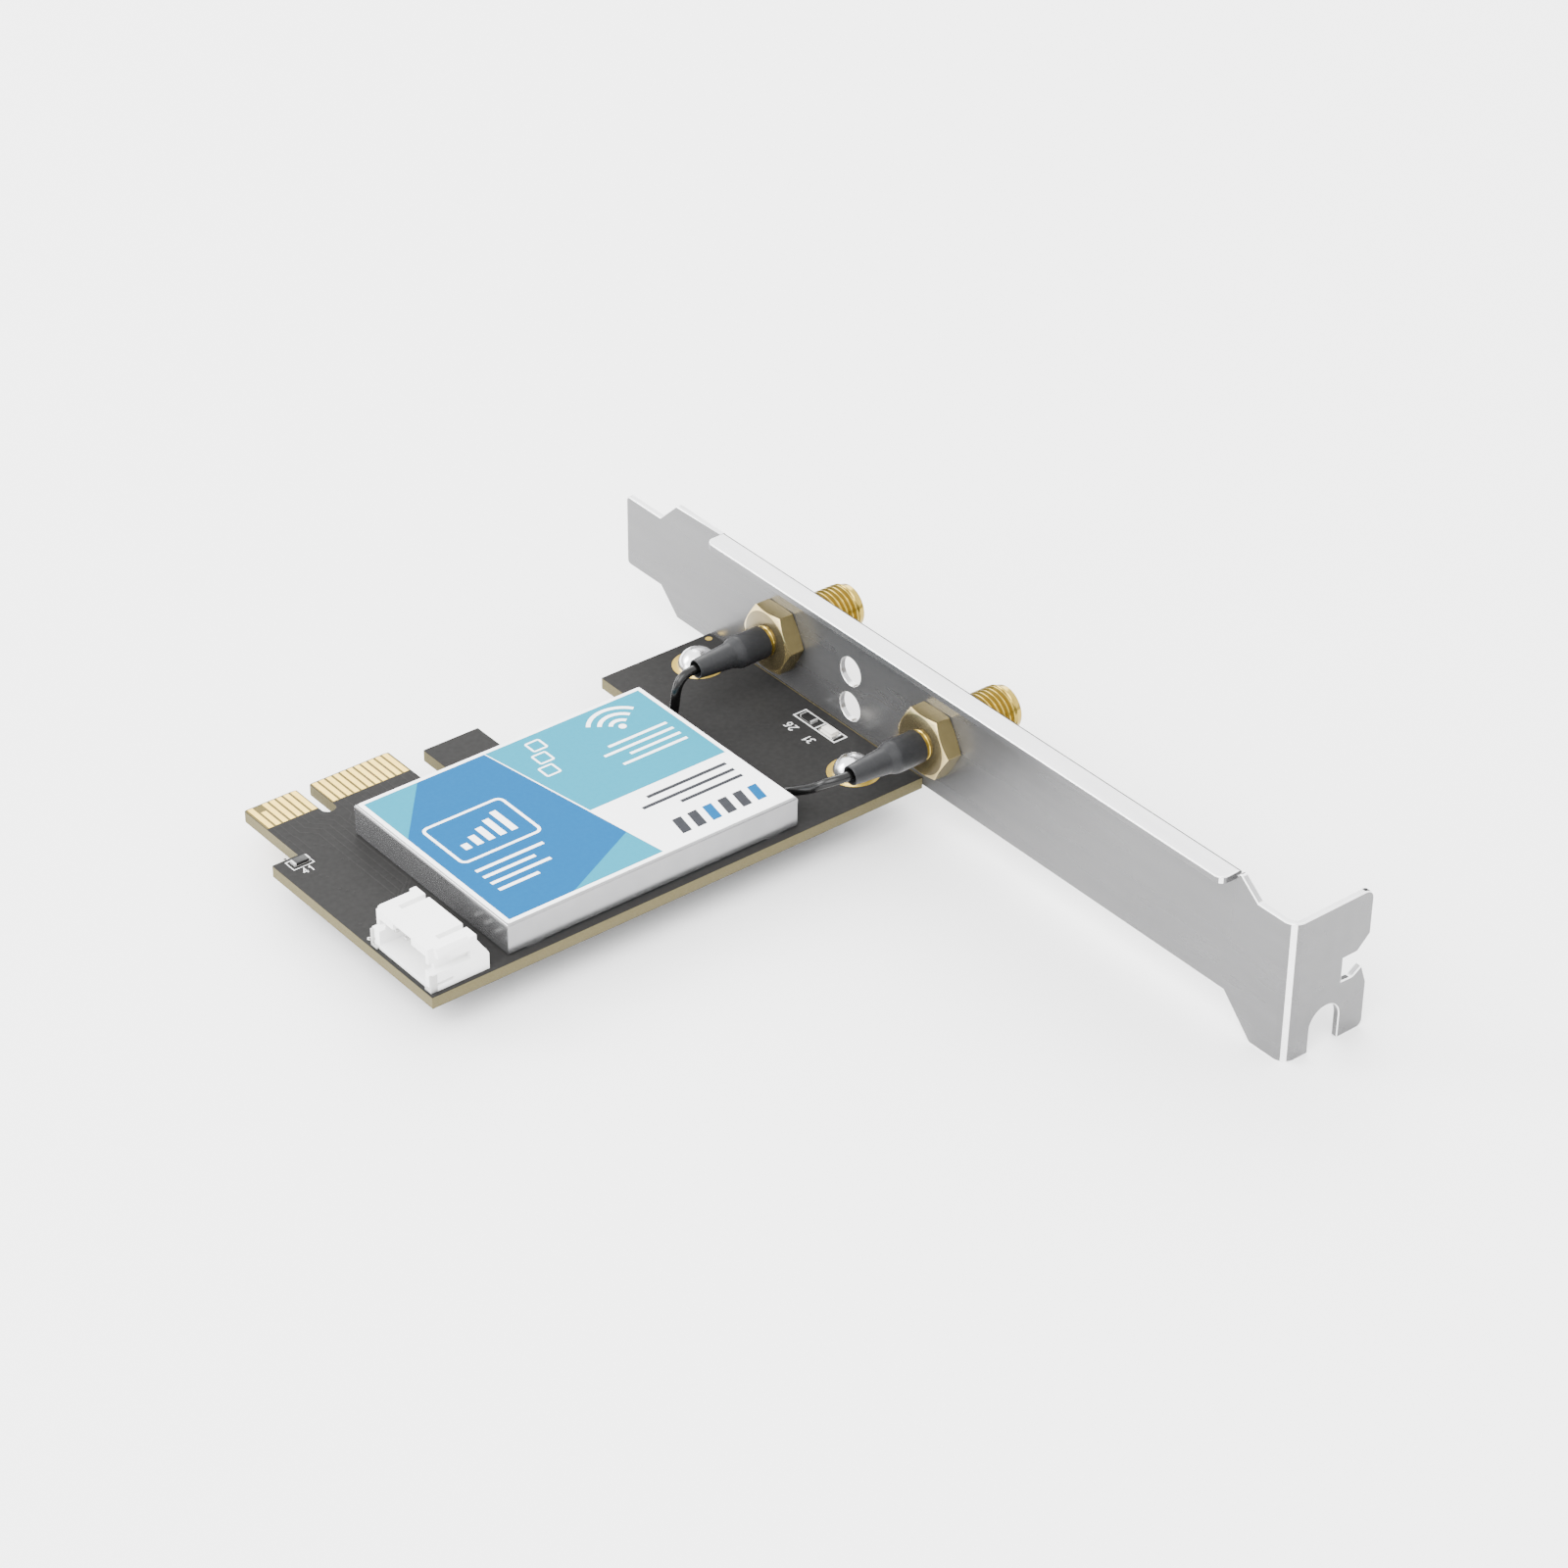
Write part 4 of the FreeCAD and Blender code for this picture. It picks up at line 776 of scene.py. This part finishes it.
def make_sleeves():
    """Heat-shrunk sleeves, uneven where they shrank, with an open end over the cable."""
    outline = rounded_profile([
        (-3.02, 1.62), (-3.0, 2.0, 0.06), (-3.1, 2.05, 0.1), (-5.0, 2.03, 0.8), (-6.75, 2.09, 0.3),
        (-7.1, 2.02, 0.2), (-8.05, 1.66, 0.4), (-9.2, 1.55, 0.5), (-13.1, 1.23, 0.1),
        (-13.2, 1.14, 0.05), (-13.14, 1.0, 0.05), (-12.6, 0.9, 0.2), (-11.8, 0.66)], 6)
    for number, y in JACKS:
        rings = []
        for x, r in outline:
            def shrunk(angle):
                ripple = (math.sin(2 * angle + 0.9 * x + number) * math.sin(1.1 * x + 2 * number)
                          + 0.5 * math.sin(3 * angle - 1.7 * x))
                return r * (1 + 0.012 * ripple)

            rings.append(ring_along_x(x, y, JACK_LEVEL, shrunk))
        bm = bmesh.new()
        add_rings(bm, rings)
        finished(f"sleeve_{number}", outward(bm), ["sleeve"],
                 [f"cable_sleeve_{number}"], 60.0)


def make_cables():
    """The two coax cables on smooth curves between sleeve and shield can."""
    radius = 0.0006
    routes = (
        (1, ((-6.6, 27.1, 6.75), (-11.2, 27.1, 6.78), (-13.3, 27.1, 6.84), (-14.9, 27.08, 6.75),
             (-15.95, 27.05, 5.75), (-16.3, 27.05, 4.2), (-16.4, 27.08, 2.7), (-16.75, 27.1, 1.35),
             (-17.6, 27.1, 1.05), (-19.5, 27.1, 1.05))),
        (2, ((-6.6, -2.2, 6.75), (-11.2, -2.2, 6.76), (-13.3, -2.18, 6.8), (-14.8, -1.95, 6.72),
             (-16.1, -0.95, 6.2), (-16.55, 0.3, 5.1), (-16.8, 2.1, 4.0), (-16.95, 4.3, 2.7),
             (-17.2, 6.1, 1.4), (-17.9, 6.6, 1.06), (-19.5, 6.6, 1.05))))
    for number, points in routes:
        curve = bpy.data.curves.new(f"cable_{number}", "CURVE")
        curve.dimensions = "3D"
        curve.bevel_depth = radius
        curve.bevel_resolution = 10
        curve.use_fill_caps = True
        line = curve.splines.new("NURBS")
        line.points.add(len(points) - 1)
        for point, place in zip(line.points, points):
            point.co = (*at(*place), 1.0)
        line.order_u = 4
        line.use_endpoint_u = True
        line.resolution_u = 12
        curve.materials.append(FINISHES["cable"])
        piece = link(bpy.data.objects.new(f"cable_{number}", curve))
        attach(piece, "root")
        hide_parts(f"coax_cable_{number}")


# Shield can and label

def wall_outline(start, end, long_wall, gates):
    """One wall of the can, flat, as (along, height) points: two feet or its cable gates."""
    slit = 0.055
    slit_top = CAN_TOP - 0.75
    top = CAN_TOP - CAN_BEND
    low = 0.2
    foot_width = 2.1
    foot_inset = 2.6
    points = [(start, top), (start, slit_top), (start + slit, slit_top), (start + slit, low)]
    if long_wall:
        for foot in (start + foot_inset, end - foot_inset - foot_width):
            points += [(foot, low), (foot, 0.0), (foot + foot_width, 0.0),
                       (foot + foot_width, low)]
    for gate in gates:
        points += [(gate - 1.0, low), (gate - 1.0, 1.9), (gate - 0.6, 2.3), (gate + 0.6, 2.3),
                   (gate + 1.0, 1.9), (gate + 1.0, low)]
    points += [(end - slit, low), (end - slit, slit_top), (end, slit_top), (end, top)]
    return points


def make_can():
    """The folded can: crown plate, four rounded folds and four walls parted at the corners."""
    (x0, y0), (x1, y1) = CAN
    fold_steps = 6
    bm = bmesh.new()
    rim = []
    for i in range(fold_steps + 1):
        angle = math.pi / 2 * i / fold_steps
        out = CAN_BEND * (1 - math.sin(angle))
        level = CAN_TOP - CAN_BEND + CAN_BEND * math.cos(angle)
        corners = ((x0 + out, y0 + out), (x1 - out, y0 + out),
                   (x1 - out, y1 - out), (x0 + out, y1 - out))
        rim.append([bm.verts.new(at(x, y, level)) for x, y in corners])
    bm.faces.new(rim[0])
    for before, after in zip(rim, rim[1:]):
        for i in range(4):
            j = (i + 1) % 4
            bm.faces.new((before[i], after[i], after[j], before[j]))
    walls = (
        (lambda s, z: at(s, y0, z), x0, x1, True, ()),
        (lambda s, z: at(x1, s, z), y0, y1, False, CABLE_GATES),
        (lambda s, z: at(x1 + x0 - s, y1, z), x0, x1, True, ()),
        (lambda s, z: at(x0, y1 + y0 - s, z), y0, y1, False, ()))
    for place, start, end, long_wall, gates in walls:
        outline = wall_outline(start, end, long_wall, gates)
        bm.faces.new([bm.verts.new(place(s, z)) for s, z in outline])
    bmesh.ops.remove_doubles(bm, verts=bm.verts, dist=1e-7)
    piece = finished("can", outward(bm), ["can"], ["shield_can"], 40.0)
    sheet = piece.modifiers.new("sheet", "SOLIDIFY")
    sheet.thickness = 0.00025
    sheet.offset = -1.0
    bevelled(piece, 0.03, 2, 50.0)


class Flat:
    """Thin shapes laid on a level face, on its upper side (1) or under it (-1)."""

    def __init__(self, level, side=1):
        self.level = level
        self.side = side
        self.bm = bmesh.new()

    def patch(self, points, paint=0, lift=0.0, thick=0.01):
        """A thin plate with the given outline."""
        root = self.level + self.side * lift
        verts = [self.bm.verts.new(at(x, y, root + self.side * thick)) for x, y in points]
        below = [self.bm.verts.new(at(x, y, root)) for x, y in points]
        area = sum(a[0] * b[1] - b[0] * a[1] for a, b in zip(points, points[1:] + points[:1]))
        if area * self.side < 0:
            verts.reverse()
            below.reverse()
        face = self.bm.faces.new(verts)
        face.material_index = paint
        for i in range(len(verts)):
            j = (i + 1) % len(verts)
            wall = self.bm.faces.new((verts[i], below[i], below[j], verts[j]))
            wall.material_index = paint

    def bar(self, x0, y0, x1, y1, paint=0, lift=0.0):
        """A rectangle between two corners."""
        self.patch([(x0, y0), (x1, y0), (x1, y1), (x0, y1)], paint, lift)

    def line(self, points, width, paint=0, lift=0.0, thick=0.01, closed=False):
        """A line of even width through the points, with mitred corners."""
        places = [Vector(point) for point in points]
        count = len(places)
        sharpest = 0.35
        left, right = [], []
        for i, here in enumerate(places):
            starts = i == 0 and not closed
            ends = i == count - 1 and not closed
            way_in = (places[1] - here if starts else here - places[i - 1]).normalized()
            way_out = way_in if ends else (places[(i + 1) % count] - here).normalized()
            across = Vector((-way_in.y, way_in.x))
            normal = across + Vector((-way_out.y, way_out.x))
            if normal.length < 1e-6:
                normal = across.copy()
            normal.normalize()
            spread = max(sharpest, normal.dot(across))
            left.append(here + normal * width / 2 / spread)
            right.append(here - normal * width / 2 / spread)
        for i in range(count if closed else count - 1):
            j = (i + 1) % count
            self.patch([tuple(left[i]), tuple(right[i]), tuple(right[j]), tuple(left[j])],
                       paint, lift, thick)

    def disc(self, x, y, radius, paint=0, lift=0.0, thick=0.01, steps=20):
        """A round plate."""
        self.patch([(x + u, y + v) for u, v in circle(radius, steps)], paint, lift, thick)

    def arc(self, x, y, radius, width, start, end, paint=0, lift=0.0):
        """A stretch of ring between two angles in degrees."""
        self.line(arc_points(x, y, radius, start, end, 24), width, paint, lift)

    def piece(self, name, finishes, slot=None, nodes=()):
        """Makes the shapes one piece of the card."""
        finished(name, self.bm, finishes, nodes)


def arc_points(x, y, radius, start, end, steps):
    """Points on a circle between two angles in degrees."""
    turns = [math.radians(start + (end - start) * i / steps) for i in range(steps + 1)]
    return [(x + radius * math.cos(turn), y + radius * math.sin(turn)) for turn in turns]


def rounded_corners(x0, y0, x1, y1, radius):
    """A rectangle's outline with its corners rounded."""
    points = []
    for x, y, turn in ((x1 - radius, y0 + radius, 270), (x1 - radius, y1 - radius, 0),
                       (x0 + radius, y1 - radius, 90), (x0 + radius, y0 + radius, 180)):
        points += arc_points(x, y, radius, turn, turn + 90, 5)
    return points


def add_bars(sheet, x, y, lengths, step, high, paint, lift, from_right=False):
    """Level bars one below the other, with their left or right ends at x."""
    for i, length in enumerate(lengths):
        start = x - length if from_right else x
        sheet.bar(start, y - step * i, start + length, y + high - step * i, paint, lift)


def make_label():
    """A sticker on the can: white border, blue and cyan fields, plain bars, rings and squares."""
    (x0, y0), (x1, y1) = CAN
    white, blue, cyan, grey = 0, 1, 2, 3
    margin = 0.3
    border = 0.85
    film = 0.06
    left, right = x0 + border, x1 - border
    low, high = y0 + border, y1 - border
    sheet = Flat(CAN_TOP)
    sheet.patch(rounded_corners(x0 + margin, y0 + margin, x1 - margin, y1 - margin, 0.35),
                white, 0.0, film)
    sheet.patch([(left, low), (left + 21.5, low), (left + 17.0, high), (left, high)], blue, film)
    sheet.patch([(left + 17.15, high), (left + 19.9, low + 11.8), (right, low + 11.8),
                 (right, high)], cyan, film)
    sheet.patch([(left, high - 9.0), (left + 7.5, high), (left, high)], cyan, film + 0.01)
    sheet.patch([(left + 9.0, low), (left + 21.5, low), (left + 20.6, low + 5.7)],
                cyan, film + 0.01)
    ink = film + 0.02
    sheet.line(rounded_corners(left + 2.2, low + 12.0, left + 13.2, low + 20.4, 0.8), 0.4,
               white, ink, closed=True)
    for i in range(5):
        sheet.bar(left + 4.0 + 1.6 * i, low + 14.0, left + 4.9 + 1.6 * i, low + 15.2 + 0.85 * i,
                  white, ink)
    add_bars(sheet, left + 2.4, low + 9.6, (9.4, 7.2, 8.3, 5.6), 1.5, 0.5, white, ink)
    for i in range(3):
        sheet.arc(right - 6.2, high - 5.2, 1.4 + 1.35 * i, 0.55, 35, 145, white, ink)
    sheet.disc(right - 6.2, high - 5.2, 0.5, white, ink)
    add_bars(sheet, right - 1.6, high - 8.0, (8.6, 10.2, 7.4, 9.4), 1.35, 0.45, white, ink, True)
    for i in range(3):
        x = left + 22.0 - 0.9 * i
        y = high - 3.2 - 2.6 * i
        sheet.line(rounded_corners(x, y, x + 1.9, y + 1.9, 0.2), 0.28, white, ink, closed=True)
    add_bars(sheet, right - 1.4, low + 9.6, (11.6, 13.4, 9.0), 1.55, 0.55, grey, film, True)
    for i in range(6):
        x = right - 14.2 + 2.2 * i
        sheet.patch([(x, low + 1.4), (x + 1.3, low + 1.4), (x + 1.9, low + 4.4),
                     (x + 0.6, low + 4.4)], blue if i % 3 == 2 else grey, film)
    sheet.piece("label", ["label_white", "label_blue", "label_cyan", "label_grey"],
                "label_film", ["shield_label"])


# Header

def make_header():
    """The wire header: housing, contact pins with outer legs, back wall's plugs, solder tabs."""
    depth = 9.53
    middle = 6.5
    pitch = 2.0
    half_pin = 0.25
    half_plug = 0.27
    front = (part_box("header_pins")[1][0] - DATUM.x) * 1000 - depth
    cad_copy("header_housing", "header", "header", 0.03)
    pins = bmesh.new()
    plugs = bmesh.new()
    for i in range(4):
        y = middle + pitch * (i - 1.5)
        for x0, x1, z0, z1 in ((1.4, 6.3, 2.75, 3.25), (7.6, 8.43, 0.0, 1.5),
                               (8.2, depth, 0.0, 0.4)):
            add_block(pins, (front + x0, y - half_pin, z0), (front + x1, y + half_pin, z1), 0.07)
        slope = ((6.2, 2.72), (7.56, 2.72), (7.2, 3.28), (6.2, 3.28))
        near, far = ([plugs.verts.new(at(front + x, y + side, z)) for x, z in slope]
                     for side in (-half_plug, half_plug))
        for j in range(4):
            k = (j + 1) % 4
            plugs.faces.new((near[j], near[k], far[k], far[j]))
        plugs.faces.new(near)
        plugs.faces.new(far[::-1])
    finished("header_pin_set", outward(pins), ["tin"], ["header_pins"])
    finished("header_back_wall", outward(plugs), ["header"])
    cad_copy("header_solder_tabs", "header_tab_set", "tab", 0.05)


# Small parts on the board

def make_small_parts():
    """Resistors with glazed tops and metal ends, and the cream indicator."""
    finishes = ["ceramic", "chip", "tab"]
    for name, node, x, y, along_y in (
            ("resistor_set", "led_resistor", -2.83, 18.1, True),
            ("corner_resistor_set", "corner_resistor", -67.8, 30.85, False)):
        bm = bmesh.new()
        add_chip(bm, x, y, along_y)
        finished(name, outward(bm), finishes, [node])
    bm = bmesh.new()
    add_block(bm, (-3.455, 12.7, 0.02), (-2.205, 15.5, 0.30), 0.03, 0)
    add_block(bm, (-3.40, 13.12, 0.28), (-2.26, 15.08, 0.75), 0.12, 0)
    for y0, y1 in ((12.68, 13.02), (15.18, 15.52)):
        add_block(bm, (-3.47, y0, 0.0), (-2.19, y1, 0.36), 0.03, 1)
    finished("indicator", outward(bm), ["led", "tin"], ["status_led"])


def add_chip(bm, x, y, along_y):
    """A chip resistor: pale ceramic, dark glazed top, wrapped metal ends."""
    ceramic, glaze, metal = 0, 1, 2
    half, wide, height = 1.1, 0.525, 0.5
    cap = 0.24

    def block(s0, s1, t0, t1, z0, z1, bevel, paint):
        """A block of the chip, with s along it and t across it."""
        if along_y:
            add_block(bm, (x + t0, y + s0, z0), (x + t1, y + s1, z1), bevel, paint)
        else:
            add_block(bm, (x + s0, y + t0, z0), (x + s1, y + t1, z1), bevel, paint)

    block(-half + 0.05, half - 0.05, -wide + 0.02, wide - 0.02, 0.03, height - 0.05, 0.02,
          ceramic)
    block(-half + cap, half - cap, -wide - 0.01, wide + 0.01, 0.1, height, 0.02, glaze)
    for start in (-half, half - cap):
        block(start, start + cap, -wide, wide, 0.0, height - 0.04, 0.05, metal)


# The stroke of each plain number, in a frame one wide and one high
DIGITS = {
    1: ((0.15, 0.75), (0.5, 1.0), (0.5, 0.0)),
    2: ((0.05, 0.78), (0.25, 1.0), (0.72, 1.0), (0.92, 0.75), (0.05, 0.0), (0.95, 0.0)),
    3: ((0.08, 0.92), (0.5, 1.0), (0.88, 0.8), (0.5, 0.54), (0.92, 0.26), (0.5, 0.0),
        (0.06, 0.1)),
    4: ((0.72, 0.0), (0.72, 1.0), (0.05, 0.3), (0.98, 0.3)),
    6: ((0.85, 0.95), (0.35, 0.9), (0.08, 0.4), (0.2, 0.06), (0.7, 0.0), (0.92, 0.28),
        (0.65, 0.54), (0.14, 0.42))}


def digit(flat, number, x, y, high, width, turn):
    """A plain number drawn in one stroke, turned by an angle in degrees."""
    along = math.cos(math.radians(turn))
    across = math.sin(math.radians(turn))
    points = []
    for u, v in DIGITS[number]:
        dx = (u - 0.5) * 0.62 * high
        dy = (v - 0.5) * high
        points.append((x + along * dx - across * dy, y + across * dx + along * dy))
    flat.line(points, width)


def make_print():
    """White print on the board: outlines round the small parts and plain numbers."""
    flat = Flat(0.0)
    flat.line([(-3.62, 12.3), (-1.72, 12.3), (-1.72, 20.05), (-3.62, 20.05)], 0.2, closed=True)
    flat.line([(-3.62, 16.16), (-1.72, 16.16)], 0.2)
    flat.line([(-69.27, 29.95), (-66.5, 29.95), (-66.5, 31.75), (-69.27, 31.75)], 0.12,
              closed=True)
    for number, x, y in ((6, -5.5, 18.8), (2, -5.5, 17.85), (1, -5.6, 15.1), (3, -5.6, 14.3)):
        digit(flat, number, x, y, 1.15, 0.17, 90)
    for number, x in ((4, -68.3), (1, -67.4)):
        digit(flat, number, x, 29.1, 1.0, 0.15, 0)
    digit(flat, 3, -69.64, 13.5, 1.05, 0.15, 90)
    flat.piece("board_print", ["silk"])


# Finishes of the tracks' pieces: mask over copper, mask over a hole's filling, and a bare pad
COPPER, HOLE, PAD = 0, 1, 2
TRACK_RISE = 0.012
COPPER_RISE = 0.02


def add_track(flat, points, width):
    """A track under the mask."""
    flat.line(points, width, COPPER, 0.0, TRACK_RISE)


def add_hole(flat, x, y, radius, middle):
    """A filled hole: a low ring with its middle a little higher."""
    flat.disc(x, y, radius, COPPER, 0.0, COPPER_RISE, 12)
    flat.disc(x, y, middle, HOLE, TRACK_RISE, TRACK_RISE, 10)


def scattered(count, low, size, shift):
    """Places strewn evenly over an area."""
    return [(low[0] + size[0] * ((i * 0.618 + shift[0]) % 1.0),
             low[1] + size[1] * ((i * 0.755 + shift[1]) % 1.0)) for i in range(count)]


def add_vias(flat):
    """Filled holes of the board, at the same places on both faces."""
    for x, y in (scattered(26, (-69.2, 14.0), (9.3, 19.5), (0.0, 0.13))
                 + scattered(22, (-16.6, 7.5), (13.4, 30.5), (0.21, 0.4))):
        add_hole(flat, x, y, 0.17, 0.09)


def make_underside():
    """Tracks, filled holes and bare test pads under the board."""
    flat = Flat(-BOARD_THICK, -1)
    white = 3
    width = 0.16
    for i in range(11):
        x = KEY_MIDDLE + KEY_TO_CONTACT + i
        bend = 34.0 - 1.6 * (i % 4)
        end = 25.0 - 1.9 * (i % 5)
        add_track(flat, [(x, TRACK_END), (x, bend), (x + 1.3, bend - 1.3), (x + 1.3, end)], width)
        flat.disc(x + 1.3, end, 0.24, COPPER, 0.0, COPPER_RISE, 14)
    for i in range(7):
        x = KEY_MIDDLE - KEY_TO_CONTACT - i
        bend = 33.5 - 0.9 * i
        add_track(flat, [(x, TRACK_END), (x, bend), (x - 1.1, bend - 1.1),
                         (x - 1.1, 12.0 + 1.3 * i)], width)
    for i in range(13):
        for y in (2.3, 30.7):
            add_hole(flat, -57.8 + 3.15 * i, y, 0.2, 0.1)
    for x, y in ((-24.0, 22.0), (-24.0, 19.0), (-27.4, 22.0), (-27.4, 19.0), (-33.0, 9.5),
                 (-62.5, 7.0)):
        flat.disc(x, y, 0.5, PAD, 0.0, 0.025, 28)
    flat.arc(-33.0, 9.5, 0.95, 0.16, 0, 360, white)
    flat.line([(-29.0, 17.4), (-22.4, 17.4), (-22.4, 23.6), (-29.0, 23.6)], 0.18, white,
              closed=True)
    add_vias(flat)
    flat.piece("underside_tracks", ["mask_trace", "mask", "gold", "silk"])


def make_traces():
    """Tracks and holes that show faintly through the mask, a test pad and the bare edge strip."""
    flat = Flat(0.0)
    bare = 3
    width = 0.14
    for i in range(11):
        if i in (2, 5, 8):
            continue
        x = KEY_MIDDLE + KEY_TO_CONTACT + i
        bend = 35.6 - 0.25 * (i % 3)
        add_track(flat, [(x, TRACK_END), (x, bend), (x - 0.9, bend - 0.9), (x - 0.9, 32.6)], width)
    for i, drop in enumerate((3.0, 3.4, 4.2, 4.7, 5.6)):
        x = KEY_MIDDLE - KEY_TO_CONTACT - i
        add_track(flat, [(x, TRACK_END), (x, 37.6 - 0.4 * i), (x + 1.6, 36.0 - 0.4 * i),
                         (x + 1.6, 24.0 - drop), (x - 0.6, 21.8 - drop)], width)
    for i in (5, 6):
        x = KEY_MIDDLE - KEY_TO_CONTACT - i
        add_track(flat, [(x, TRACK_END), (x, 35.8), (x + 0.2, 35.3), (x + 0.2, 32.2)], width)
    add_vias(flat)
    flat.disc(-1.06, 40.2, 0.45, PAD, 0.0, 0.03, 28)
    flat.bar(-0.24, 0.1, -0.1, 32.1, bare)
    flat.piece("board_tracks", ["mask_trace", "mask", "gold", "laminate_bare"])


def make_inner_parts():
    """What sits under the can keeps its solid and takes a finish."""
    inner_parts = {
        "chip": ("radio_chip", "power_chip", "memory_chip", "front_end_chip_1",
                 "front_end_chip_2"),
        "gold": ("antenna_receptacle_1", "antenna_receptacle_2", "cable_plug_1", "cable_plug_2"),
        "tin": ("crystal",)}
    for finish, nodes in inner_parts.items():
        for node in nodes:
            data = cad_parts[node].data
            data.materials.clear()
            data.materials.append(FINISHES[finish])


make_camera()
make_surroundings()
make_floor()
make_lights()
make_bracket()
make_board()
make_contacts()
make_rivets()
make_jacks()
make_nuts()
make_sleeves()
make_cables()
make_can()
make_label()
make_header()
make_small_parts()
make_print()
make_traces()
make_underside()
make_inner_parts()
